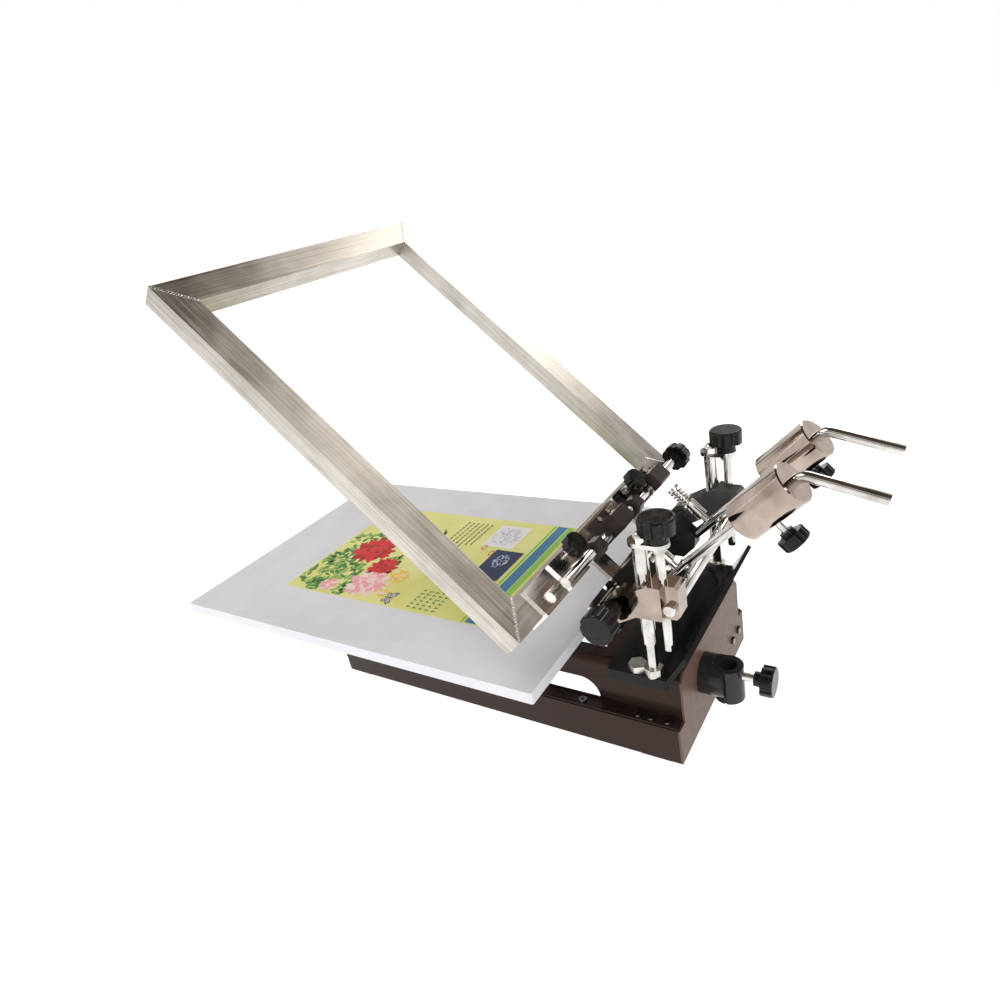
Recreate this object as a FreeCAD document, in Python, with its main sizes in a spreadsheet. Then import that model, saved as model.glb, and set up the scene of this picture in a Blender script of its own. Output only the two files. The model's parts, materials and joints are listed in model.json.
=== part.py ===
import FreeCAD, Part
import math
import os

import Sketcher

# Screen printing frame: a folded steel base with a flat work board, a height
# adjustable hinge head and an aluminium screen frame carried by two weighted arms.
# Millimetres, +Z up, +Y to the rear, origin under the middle of the machine.

os.makedirs("parts", exist_ok=True)
doc = FreeCAD.newDocument("screen_printing_frame")
sheet = doc.addObject("Spreadsheet::Sheet", "Sizes")

SIZES = {
    # work board and printed sheet
    "board_wide": 350, "board_long": 490, "board_thick": 12, "board_top": 117, "board_middle": -126.5,
    "paper_wide": 210, "paper_long": 297, "paper_thick": 0.3, "paper_middle": -122.5,
    # folded base
    "base_front": -210.5, "base_back": 214.5, "pan_half": 100, "pan_top": 40.5, "pan_ledge": 80,
    "pan_return": 86, "house_half": 86, "house_top": 92, "house_fold": 8, "metal": 2,
    "window_front": -86.5, "window_back": 132.5, "window_low": 44.5, "window_high": 66, "window_round": 20,
    "flange_screw_in": 6.5, "screw_one": 116.5, "screw_two": 174.4, "screw_three": 187, "screw_four": 203.2,
    "roof_front": -66.5, "roof_back": 136, "roof_half": 66, "flange_half": 99,
    "pad_thick": 2, "pad_wide": 12, "pad_long": 30, "pad_x": 92.5, "pad_front": -190, "pad_back": 190,
    "rail_wide": 20, "rail_half": 80, "rail_tall": 13, "rail_front_y": -176.5, "rail_back_y": 53.5,
    "rail_bolt_x": 72, "rail_bolt_grip": 6,
    # rear socket
    "boss_wide": 40, "boss_x": 30, "boss_z": 55, "barrel_wide": 28, "barrel_tall": 36, "barrel_y": 240.5,
    "barrel_z": 34, "socket_wide": 16, "flute_wide": 2.2, "flutes": 24, "stud_z": 60, "stud_wide": 8,
    "knob_reach": 10,
    # head bracket
    "plate_thick": 4, "bracket_front": 152.5, "bracket_back": 208.5, "bracket_top": 96,
    "bracket_skirt": 85, "lip_lean": 57.3, "lip_long": 33.3, "bracket_bolt_x": 91.4, "bracket_bolt_y": 179.5,
    "bracket_bolt_deep": 10,
    # posts and height screws
    "post_x": 93, "post_y": 195.5, "post_wide": 13, "post_neck": 10, "post_shoulder": 131,
    "cap_low": 229, "cap_thick": 4, "cap_round": 9.5, "lift_y": 212, "lift_wide": 8, "lift_low": 127,
    "lift_collar": 13, "lift_collar_tall": 4,
    # hinge axis and how far the raised screen leans
    "hinge_back": 165.3, "hinge_up": 162, "tilt": 44, "lean": 46.5, "shaft_wide": 14, "shaft_end": 104,
    "fit": 0.05, "gap": 0.3, "small": 0.5,
    # carriage blocks
    "block_in": 80, "block_foot": 24, "block_high": 32, "block_slope": 36, "block_rear": 61, "block_round": 3,
    "block_step": 48, "step_deep": 6, "ear_round": 12, "ear_turn": 20,
    "tie_y": 54.2, "tie_z": 11, "tie_wide": 11, "tie_bolt_wide": 5, "tie_bolt_deep": 26,
    # swing
    "swing_half": 95, "swing_front": -15.6, "swing_back": 20.4, "swing_low": -24, "swing_thick": 4,
    "arm_x": 45, "strap_wide": 20, "strap_low": -15.7, "strap_thick": 4, "strap_front": -66.6,
    "hub_wide": 16, "hub_back": 27, "hub_top": 20, "hub_nose": -6, "hub_shoulder": 9,
    "screw_y": -44.6, "screw_h": -6, "lug_wide": 12, "lug_half": 9, "lug_top": 3, "lug_flat": 5.5,
    "arm_wide": 9, "arm_y": 18, "arm_foot": -6, "arm_corner": 184, "arm_bend": 58.6, "bend_radius": 10,
    "arm_tail": 60.8, "pin_wide": 13, "pin_long": 18, "pin_h": 40, "pin_front": -8, "pin_neck": 7, "pin_core": 6,
    "pin_end": -27,
    "pin_head": 3, "coil_wire": 2, "coil_across": 11, "coil_pitch": 3.6,
    # counterweights
    "weight_wide": 37, "weight_low": 121, "weight_long": 55, "lock_near_h": 141, "lock_far_h": 152, "lock_wide": 6,
    "lock_near_out": 8, "lock_far_out": 0.3,
    # screen holder
    "holder_half": 138, "sheet_metal": 3, "flange_deep": 30, "lip_deep": 8, "bed_half": 96,
    "cast_wide": 28, "cast_far": -98, "cast_back": -37, "cast_front": -64.6, "cast_top": 10,
    "side_screw": 10, "side_near": 108, "side_far": -166, "clamp_x": 70, "clamp_y": -61.6, "clamp_wide": 6,
    # aluminium screen frame
    "frame_wide": 360, "frame_long": 450, "frame_rear": -39.6, "frame_top": -22, "tube_wide": 30,
    "tube_tall": 20, "tube_wall": 2, "bead_wide": 3, "bead_tall": 0.5,
    # star knobs: across, tall, neck across, neck tall
    "star_lift": 31, "star_lift_tall": 22, "star_lift_neck": 18, "star_lift_neck_tall": 8,
    "star_hinge": 31, "star_hinge_tall": 28, "star_hinge_neck": 18, "star_hinge_neck_tall": 12,
    "star_side": 30, "star_side_tall": 18, "star_side_neck": 18, "star_side_neck_tall": 5,
    "star_clamp": 23, "star_clamp_tall": 14, "star_clamp_neck": 12, "star_clamp_neck_tall": 4,
    "star_lock": 24, "star_lock_tall": 14, "star_lock_neck": 12, "star_lock_neck_tall": 4,
    "star_socket": 29, "star_socket_tall": 18, "star_socket_neck": 14, "star_socket_neck_tall": 7,
    "lobes": 7, "lobe_out": 0.56, "lobe_cut": 0.24, "lobe_round": 0.07,
    # fasteners: across the head, head height
    "hex_bolt": 15, "hex_bolt_tall": 5.5, "shank_ten": 10, "washer_wide": 15.5, "washer_thick": 1.6,
    "hex_post": 15, "hex_post_tall": 8, "acorn": 11, "acorn_tall": 2.5, "acorn_dome": 5,
    "pan_head": 8, "pan_tall": 2.4, "pan_shank": 4, "cap_head": 9, "cap_head_tall": 4, "cap_shank": 5,
}

for row, (word, number) in enumerate(SIZES.items(), start=1):
    sheet.set(f"A{row}", str(number))
    sheet.setAlias(f"A{row}", word)
doc.recompute()


# A size that knows both its present value and the sheet expression behind it.
class Size:
    def __init__(self, text, value):
        self.text = text
        self.value = float(value)

    def __add__(self, other):
        other = size(other)
        return Size(f"({self.text} + {other.text})", self.value + other.value)

    def __sub__(self, other):
        other = size(other)
        return Size(f"({self.text} - {other.text})", self.value - other.value)

    def __rsub__(self, other):
        return size(other) - self

    def __mul__(self, other):
        other = size(other)
        return Size(f"({self.text} * {other.text})", self.value * other.value)

    def __truediv__(self, other):
        other = size(other)
        return Size(f"({self.text} / {other.text})", self.value / other.value)

    def __neg__(self):
        return Size(f"(-1 * {self.text})", -self.value)

    __radd__ = __add__
    __rmul__ = __mul__


def size(thing):
    if isinstance(thing, Size):
        return thing
    if isinstance(thing, str):
        return Size(f"Sizes.{thing}", SIZES[thing])
    return Size(str(thing), thing)


def cosine(angle):
    return Size(f"cos({angle.text})", math.cos(math.radians(angle.value)))


def sine(angle):
    return Size(f"sin({angle.text})", math.sin(math.radians(angle.value)))


def tangent(angle):
    return Size(f"tan({angle.text})", math.tan(math.radians(angle.value)))


# Every sheet word as an attribute, so s.board_wide reads like a dimension.
class Words:
    pass


s = Words()
for word in SIZES:
    setattr(s, word, size(word))

NODES = []
ALONG_X = (FreeCAD.Vector(0, 1, 0), size(90))
ALONG_FAR = (FreeCAD.Vector(0, -1, 0), size(90))
ALONG_Y = (FreeCAD.Vector(-1, 0, 0), size(90))
TILTED = (FreeCAD.Vector(-1, 0, 0), s.tilt)
LEANING = (FreeCAD.Vector(-1, 0, 0), s.lean)
TILTED_ACROSS = (FreeCAD.Vector(-1, 0, 0), s.tilt + 90)
LEANING_ACROSS = (FreeCAD.Vector(-1, 0, 0), s.lean + 90)
HINGE = (0, s.hinge_back, s.hinge_up)


def bind(thing, path, value):
    thing.setExpression(path, size(value).text)


# Point of the swung frame, given along and above the hinge, as a place in the machine.
def swung(x, along, above, angle):
    back = s.hinge_back + along * cosine(angle) + above * sine(angle)
    up = s.hinge_up - along * sine(angle) + above * cosine(angle)
    return (x, back, up)


def put(thing, spot, turn=None):
    if turn:
        axis, angle = turn
        rotation = FreeCAD.Rotation(axis, angle.value)
        thing.Placement = FreeCAD.Placement(FreeCAD.Vector(0, 0, 0), rotation)
        bind(thing, "Placement.Rotation.Angle", angle)
    for letter, value in zip("xyz", spot):
        bind(thing, f"Placement.Base.{letter}", value)
    return thing


def node(label, thing):
    thing.Label = label
    NODES.append(thing)
    return thing


def body(label):
    return doc.addObject("PartDesign::Body", label)


def sketch(part, plane, lift):
    made = part.newObject("Sketcher::SketchObject", "Sketch")
    origin = [item for item in part.Origin.OriginFeatures if item.Role == plane][0]
    made.AttachmentSupport = [(origin, "")]
    made.MapMode = "FlatFace"
    bind(made, "AttachmentOffset.Base.z", lift)
    return made


def fix(made, kind, first, second, value):
    place = made.addConstraint(Sketcher.Constraint(kind, -1, 1, first, second, value.value))
    made.setExpression(f"Constraints[{place}]", value.text)


def outline(part, plane, points, lift=0):
    made = sketch(part, plane, lift)
    corners = [(size(x), size(y)) for x, y in points]
    spots = [FreeCAD.Vector(x.value, y.value, 0) for x, y in corners]
    count = len(spots)
    for i in range(count):
        made.addGeometry(Part.LineSegment(spots[i], spots[(i + 1) % count]), False)
    for i in range(count):
        made.addConstraint(Sketcher.Constraint("Coincident", i, 2, (i + 1) % count, 1))
    for i, (x, y) in enumerate(corners):
        fix(made, "DistanceX", i, 1, x)
        fix(made, "DistanceY", i, 1, y)
    return made


def box_outline(part, plane, left, right, low, high, lift=0):
    return outline(part, plane, [(left, low), (right, low), (right, high), (left, high)], lift)


def ring(part, plane, centre, across, lift=0):
    made = sketch(part, plane, lift)
    x, y = size(centre[0]), size(centre[1])
    across = size(across)
    flat = FreeCAD.Vector(x.value, y.value, 0)
    made.addGeometry(Part.Circle(flat, FreeCAD.Vector(0, 0, 1), across.value / 2), False)
    fix(made, "DistanceX", 0, 3, x)
    fix(made, "DistanceY", 0, 3, y)
    place = made.addConstraint(Sketcher.Constraint("Diameter", 0, across.value))
    made.setExpression(f"Constraints[{place}]", across.text)
    return made


def pad(part, profile, length, middle=False):
    made = part.newObject("PartDesign::Pad", "Pad")
    made.Profile = profile
    bind(made, "Length", length)
    made.Midplane = middle
    doc.recompute()
    return made


def cut(part, profile, length, middle=False):
    before = part.Tip.Shape.Volume
    made = part.newObject("PartDesign::Pocket", "Pocket")
    made.Profile = profile
    bind(made, "Length", length)
    made.Midplane = middle
    made.Reversed = not middle
    doc.recompute()
    if made.Shape.Volume >= before:
        raise ValueError(f"{part.Label}: a pocket removed nothing")
    return made


def soften(part, kind, amount, test):
    before = part.Tip
    names = []
    for i, edge in enumerate(before.Shape.Edges, start=1):
        if test(edge):
            names.append(f"Edge{i}")
    made = part.newObject(f"PartDesign::{kind}", kind)
    made.Base = (before, names)
    bind(made, "Radius" if kind == "Fillet" else "Size", amount)
    doc.recompute()
    return made


# A piece turned on a lathe: rows of (radius, start, end) along its own axis.
def turned(label, rows):
    part = body(label)
    points = [(0, rows[0][1])]
    for radius, start, end in rows:
        points.append((radius, start))
        points.append((radius, end))
    points.append((0, rows[-1][2]))
    profile = outline(part, "XZ_Plane", points)
    made = part.newObject("PartDesign::Revolution", "Turning")
    made.Profile = profile
    made.ReferenceAxis = (profile, ["V_Axis"])
    made.Angle = 360
    doc.recompute()
    return part


def star_knob(label, kind, stud, deep):
    across, tall = size(f"star_{kind}"), size(f"star_{kind}_tall")
    neck, neck_tall = size(f"star_{kind}_neck"), size(f"star_{kind}_neck_tall")
    part = body(label)
    pad(part, ring(part, "XY_Plane", (0, 0), across, neck_tall), tall - neck_tall)
    top = tall.value

    def rim(edge):
        return edge.BoundBox.ZMin > top - s.small.value and edge.BoundBox.ZLength < s.small.value

    soften(part, "Fillet", across * s.lobe_round, rim)
    pad(part, ring(part, "XY_Plane", (0, 0), neck), neck_tall + s.small)
    cut(part, ring(part, "XY_Plane", (0, 0), stud, -s.small), deep + s.small)
    scoop = ring(part, "XY_Plane", (across * s.lobe_out, 0), across * s.lobe_cut, neck_tall)
    notch = cut(part, scoop, tall)
    star = part.newObject("PartDesign::PolarPattern", "Lobes")
    star.Originals = [notch]
    origin_z = [item for item in part.Origin.OriginFeatures if item.Role == "Z_Axis"][0]
    star.Axis = (origin_z, [""])
    star.Angle = 360
    bind(star, "Occurrences", s.lobes)
    part.Tip = star
    doc.recompute()
    return part


def cylinder(across, low, high):
    made = doc.addObject("Part::Cylinder", "Cylinder")
    bind(made, "Radius", size(across) / 2)
    bind(made, "Height", size(high) - size(low))
    bind(made, "Placement.Base.z", low)
    return made


def hexagon(flats, low, high):
    made = doc.addObject("Part::Prism", "Prism")
    made.Polygon = 6
    bind(made, "Circumradius", size(flats) / (2 * cosine(size(30))))
    bind(made, "Height", size(high) - size(low))
    bind(made, "Placement.Base.z", low)
    return made


def block(wide, long, tall, x, y, z):
    made = doc.addObject("Part::Box", "Box")
    bind(made, "Length", wide)
    bind(made, "Width", long)
    bind(made, "Height", tall)
    put(made, (size(x) - size(wide) / 2, size(y) - size(long) / 2, z))
    return made


def fused(parts):
    if len(parts) == 1:
        return parts[0]
    made = doc.addObject("Part::MultiFuse", "Fusion")
    made.Shapes = parts
    made.Refine = True
    return made


def less(base, tool):
    made = doc.addObject("Part::Cut", "Cut")
    made.Base = base
    made.Tool = tool
    return made


def together(label, parts):
    made = doc.addObject("Part::Compound", label)
    made.Links = parts
    return node(label, made)


# One screw or bolt along its own axis: rows of (shape, across, low, high).
def fastener(rows, spot, turn=None):
    pieces = []
    for shape, across, low, high in rows:
        maker = hexagon if shape == "hex" else cylinder
        pieces.append(maker(across, low, high))
    return put(fused(pieces), spot, turn)


# Fasteners of one kind share a file, each a separate solid.
def fasteners(label, rows, spots, turn=None):
    return together(label, [fastener(rows, spot, turn) for spot in spots])


def hollow_fasteners(label, flats, low, high, bore, spots):
    made = []
    for spot in spots:
        nut = less(hexagon(flats, low, high), cylinder(bore, low - s.small, high + s.small))
        made.append(put(nut, spot))
    return together(label, made)


def drill(part, plane, centre, across, start, length):
    cut(part, ring(part, plane, centre, across, start), length)


def mirrored(source):
    made = doc.addObject("Part::Mirroring", "Mirror")
    made.Source = source
    made.Base = FreeCAD.Vector(0, 0, 0)
    made.Normal = FreeCAD.Vector(1, 0, 0)
    return made


def pair(label, source):
    return together(label, [source, mirrored(source)])


SIDES = ((1, "near"), (-1, "far"))


# ---- base ----
FLANGE_SCREWS = []
for edge_x in (s.flange_screw_in - s.pan_half, s.pan_half - s.flange_screw_in):
    for screw_back in (s.screw_one, s.screw_two, s.screw_three, s.screw_four):
        FLANGE_SCREWS.append((edge_x, screw_back))
PANEL_SCREWS = [(s.rail_wide - s.pan_half, s.boss_z / 2), (s.rail_wide * 2 - s.pan_half, s.boss_z / 2)]


def base_pan():
    part = body("base_pan")
    inner = s.pan_half - s.metal
    tall = s.pan_top - s.pad_thick
    behind = s.base_back + s.metal
    pad(part, box_outline(part, "XY_Plane", -s.pan_half, s.pan_half, s.base_front, s.base_back, s.pad_thick),
        tall)

    def upright(edge):
        box = edge.BoundBox
        return box.ZLength > s.metal.value and box.YMax < s.base_front.value + s.small.value

    soften(part, "Fillet", s.metal * 2, upright)
    cut(part, box_outline(part, "XY_Plane", -inner, inner, s.base_front + s.metal, behind,
                          s.pad_thick + s.metal), tall - 2 * s.metal)
    cut(part, box_outline(part, "XY_Plane", -s.pan_ledge, s.pan_ledge, s.base_front + s.rail_wide, behind,
                          s.pan_top - 2 * s.metal), 4 * s.metal)
    cut(part, box_outline(part, "XY_Plane", -s.pan_return, s.pan_return, s.base_front + s.pad_wide, behind, 0),
        s.pad_thick + 2 * s.metal)
    for x, y in FLANGE_SCREWS:
        drill(part, "XY_Plane", (x, y), s.pan_shank, s.pan_top - 2 * s.metal, 4 * s.metal)
    node("base_pan", part)


def base_housing():
    part = body("base_housing")
    floor = s.pan_top
    behind = s.base_back + s.metal
    under_roof = s.house_top - s.house_fold
    pad(part, box_outline(part, "XY_Plane", -s.house_half, s.house_half, s.base_front, s.base_back, floor),
        s.house_top - floor)
    top = s.house_top.value

    def shoulder(edge):
        box = edge.BoundBox
        return box.ZMin > top - s.small.value and box.YLength > s.board_wide.value

    soften(part, "Fillet", s.house_fold, shoulder)
    pad(part, box_outline(part, "XY_Plane", -s.flange_half, s.flange_half, s.base_front, s.base_back, floor),
        s.metal)
    inner = s.house_half - s.metal
    cut(part, box_outline(part, "XY_Plane", -inner, inner, s.base_front + s.metal, behind, floor - s.metal),
        under_roof - floor + s.metal)
    shelf = s.house_half - s.house_fold
    cut(part, box_outline(part, "XY_Plane", -shelf, shelf, s.base_front + s.metal, behind,
                          under_roof - s.metal), s.house_fold)
    cut(part, box_outline(part, "XY_Plane", -s.roof_half, s.roof_half, s.roof_front, s.roof_back, under_roof),
        s.house_top)
    sides = box_outline(part, "YZ_Plane", s.window_front, s.window_back, s.window_low, s.window_high)
    cut(part, sides, s.board_wide, middle=True)
    back, high = s.window_back.value, s.window_high.value

    def window_corner(edge):
        box = edge.BoundBox
        flat = box.YLength < s.small.value and box.ZLength < s.small.value
        near_back = abs(box.YMin - back) < s.small.value
        return flat and near_back and abs(box.ZMin - high) < s.small.value

    soften(part, "Fillet", s.window_round, window_corner)
    for x in (-s.rail_bolt_x, s.rail_bolt_x):
        for y in (s.rail_front_y, s.rail_back_y):
            drill(part, "XY_Plane", (x, y), s.cap_shank, under_roof, s.house_top)
    for x, y in FLANGE_SCREWS:
        drill(part, "XY_Plane", (x, y), s.pan_shank, floor - s.metal, 2 * s.metal)
    node("base_housing", part)


def rear_panel():
    part = body("rear_panel")
    shelf = s.house_half - s.house_fold
    points = [(-s.pan_half, s.pad_thick), (s.pan_half, s.pad_thick), (s.pan_half, s.pan_top),
              (s.house_half, s.pan_top), (s.house_half, s.house_top - s.house_fold), (shelf, s.house_top),
              (-shelf, s.house_top), (-s.house_half, s.house_top - s.house_fold),
              (-s.house_half, s.pan_top), (-s.pan_half, s.pan_top)]
    rear = s.base_back + s.metal
    pad(part, outline(part, "XZ_Plane", points, -rear), s.metal)
    for x, z in PANEL_SCREWS:
        cut(part, ring(part, "XZ_Plane", (x, z), s.pan_shank, -(rear + s.metal)), s.metal * 4)
    node("rear_panel", part)


def base_fasteners():
    pads = []
    for x in (-s.pad_x, s.pad_x):
        for y in (s.pad_front, s.pad_back):
            pads.append(block(s.pad_wide, s.pad_long, s.pad_thick, x, y, 0))
    together("foot_pads", pads)
    rows = [("round", s.pan_shank, -(s.metal * 2), 0), ("round", s.pan_head, 0, s.pan_tall)]
    screws = [fastener(rows, (x, y, s.pan_top + s.metal)) for x, y in FLANGE_SCREWS]
    for x, z in PANEL_SCREWS:
        screws.append(fastener(rows, (x, s.base_back + s.metal, z), ALONG_Y))
    together("pan_screws", screws)
    rows = [("round", s.cap_head, -(s.metal + s.cap_head_tall), -s.metal),
            ("round", s.cap_shank, -s.metal, s.rail_tall + s.rail_bolt_grip)]
    spots = []
    for x in (-s.rail_bolt_x, s.rail_bolt_x):
        for y in (s.rail_front_y, s.rail_back_y):
            spots.append((x, y, s.house_top))
    fasteners("rail_bolts", rows, spots)


def board():
    rails = []
    for y in (s.rail_front_y, s.rail_back_y):
        part = body("rail")
        pad(part, box_outline(part, "XY_Plane", -s.rail_half, s.rail_half, y - s.rail_wide / 2,
                              y + s.rail_wide / 2, s.house_top), s.rail_tall)
        for x in (-s.rail_bolt_x, s.rail_bolt_x):
            drill(part, "XY_Plane", (x, y), s.cap_shank, s.house_top - s.metal, s.rail_tall + 2 * s.metal)
        rails.append(part)
    together("platen_rails", rails)
    part = body("platen")
    under = s.board_top - s.board_thick
    front = s.board_middle - s.board_long / 2
    back = s.board_middle + s.board_long / 2
    pad(part, box_outline(part, "XY_Plane", -s.board_wide / 2, s.board_wide / 2, front, back, under),
        s.board_thick)

    def corner(edge):
        return edge.BoundBox.ZLength > s.metal.value

    soften(part, "Fillet", s.metal, corner)
    for x in (-s.rail_bolt_x, s.rail_bolt_x):
        for y in (s.rail_front_y, s.rail_back_y):
            drill(part, "XY_Plane", (x, y), s.cap_shank, under - s.small, s.rail_bolt_grip + s.small)
    node("platen", part)
    part = body("print_sheet")
    pad(part, box_outline(part, "XY_Plane", -s.paper_wide / 2, s.paper_wide / 2,
                          s.paper_middle - s.paper_long / 2, s.paper_middle + s.paper_long / 2, s.board_top),
        s.paper_thick)
    node("print_sheet", part)


# ---- round socket on the back of the base ----
def rear_socket():
    part = body("clamp_barrel")
    top = s.barrel_z + s.barrel_tall
    pad(part, ring(part, "XY_Plane", (s.boss_x, s.barrel_y), s.barrel_wide, s.barrel_z), s.barrel_tall)
    flute = cut(part, ring(part, "XY_Plane", (s.boss_x + s.barrel_wide / 2, s.barrel_y), s.flute_wide,
                           s.barrel_z - s.small), top)
    flutes = part.newObject("PartDesign::PolarPattern", "Flutes")
    flutes.Originals = [flute]
    axis = ring(part, "XY_Plane", (s.boss_x, s.barrel_y), s.socket_wide, s.barrel_z - s.small)
    flutes.Axis = (axis, ["N_Axis"])
    flutes.Angle = 360
    bind(flutes, "Occurrences", s.flutes)
    part.Tip = flutes
    doc.recompute()
    cut(part, axis, top)
    side = ring(part, "XZ_Plane", (s.boss_x, s.stud_z), s.stud_wide, -(s.barrel_y + s.barrel_wide))
    cut(part, side, s.barrel_wide)
    node("clamp_barrel", part)
    boss = cylinder(s.boss_wide, 0, s.barrel_y - s.base_back - s.metal)
    put(boss, (s.boss_x, s.base_back + s.metal, s.boss_z), ALONG_Y)
    tool = cylinder(s.barrel_wide + 2 * s.fit, 0, s.house_top)
    put(tool, (s.boss_x, s.barrel_y, 0))
    node("clamp_boss", less(boss, tool))
    start = s.barrel_y + s.socket_wide / 2 + s.gap
    seat = s.barrel_y + s.barrel_wide / 2 + s.knob_reach
    length = seat - start + s.star_socket_neck_tall
    stud = turned("clamp_stud", [(s.stud_wide / 2 - s.fit, 0, length)])
    node("clamp_stud", put(stud, (s.boss_x, start, s.stud_z), ALONG_Y))
    knob = star_knob("clamp_knob", "socket", s.stud_wide - 2 * s.fit, s.star_socket_neck_tall)
    node("clamp_knob", put(knob, (s.boss_x, seat, s.stud_z), ALONG_Y))


# ---- head bracket, posts and height screws ----
def head_bracket():
    part = body("head_bracket")
    low = s.bracket_top - s.plate_thick
    turn = s.lip_lean
    tip_y = s.bracket_back + s.lip_long * cosine(turn)
    tip_z = s.bracket_top + s.lip_long * sine(turn)
    points = [(s.bracket_front, low), (s.bracket_back + s.plate_thick * tangent(turn / 2), low),
              (tip_y + s.plate_thick * sine(turn), tip_z - s.plate_thick * cosine(turn)), (tip_y, tip_z),
              (s.bracket_back, s.bracket_top), (s.bracket_front, s.bracket_top)]
    pad(part, outline(part, "YZ_Plane", points), s.pan_half * 2, middle=True)
    for x in (s.pan_half - s.plate_thick, -s.pan_half):
        pad(part, box_outline(part, "YZ_Plane", s.bracket_front, s.bracket_back, s.bracket_skirt,
                              low + s.small, x), s.plate_thick)
    for x in (-s.post_x, s.post_x):
        drill(part, "XY_Plane", (x, s.post_y), s.post_neck, low - s.small, 2 * s.plate_thick)
    for x in (-s.bracket_bolt_x, s.bracket_bolt_x):
        drill(part, "XY_Plane", (x, s.bracket_bolt_y), s.stud_wide, low - s.small, 2 * s.plate_thick)
    node("head_bracket", part)
    spots = [(x, s.bracket_bolt_y, s.bracket_top) for x in (-s.bracket_bolt_x, s.bracket_bolt_x)]
    fasteners("bracket_bolts", [("round", s.stud_wide, -s.bracket_bolt_deep, 0),
                                ("round", s.washer_wide, 0, s.washer_thick),
                                ("hex", s.hex_bolt, s.washer_thick, s.washer_thick + s.hex_bolt_tall)], spots)


def posts():
    low = s.bracket_top - s.plate_thick
    column = turned("post", [(s.post_neck / 2, low, s.post_shoulder), (s.post_wide / 2, s.post_shoulder, s.cap_low),
                             (s.lift_wide / 2, s.cap_low, s.cap_low + s.cap_thick + s.acorn_tall)])
    pair("posts", put(column, (s.post_x, s.post_y, 0)))
    spots = [(x, s.post_y, s.bracket_top) for x in (-s.post_x, s.post_x)]
    hollow_fasteners("lock_nuts", s.hex_post, 0, s.hex_post_tall, s.post_neck, spots)
    top = s.cap_low + s.cap_thick
    ends = []
    for y in (s.post_y, s.lift_y):
        ends.append(put(cylinder(s.cap_round * 2, 0, s.cap_thick), (s.post_x, y, s.cap_low)))
    middle = (s.post_y + s.lift_y) / 2
    ends.append(block(s.cap_round * 2, s.lift_y - s.post_y, s.cap_thick, s.post_x, middle, s.cap_low))
    holes = [put(cylinder(s.lift_wide, 0, s.board_wide), (s.post_x, s.post_y, 0)),
             put(cylinder(s.lift_wide + 2 * s.fit, 0, s.board_wide), (s.post_x, s.lift_y, 0))]
    pair("post_caps", less(fused(ends), fused(holes)))
    nuts = []
    for x in (-s.post_x, s.post_x):
        dome = doc.addObject("Part::Sphere", "Dome")
        bind(dome, "Radius", s.acorn_dome)
        bind(dome, "Placement.Base.z", s.acorn_tall)
        under = fused([cylinder(s.lift_wide, -s.small, s.acorn_tall), cylinder(s.acorn * 2, -s.acorn_dome, 0)])
        whole = less(fused([hexagon(s.acorn, 0, s.acorn_tall), dome]), under)
        nuts.append(put(whole, (x, s.post_y, top)))
    together("acorn_nuts", nuts)


def height_screws():
    top = s.cap_low + s.cap_thick
    seat = top + s.gap * 2
    for sign, side in SIDES:
        radius = s.lift_wide / 2
        rows = [(radius, s.lift_low, s.cap_low - s.gap - s.lift_collar_tall),
                (s.lift_collar / 2, s.cap_low - s.gap - s.lift_collar_tall, s.cap_low - s.gap),
                (radius, s.cap_low - s.gap, seat + s.star_lift_neck_tall)]
        screw = turned(f"height_screw_{side}", rows)
        node(f"height_screw_{side}", put(screw, (sign * s.post_x, s.lift_y, 0)))
        knob = star_knob(f"height_knob_{side}", "lift", s.lift_wide, s.star_lift_neck_tall)
        node(f"height_knob_{side}", put(knob, (sign * s.post_x, s.lift_y, seat)))


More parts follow.
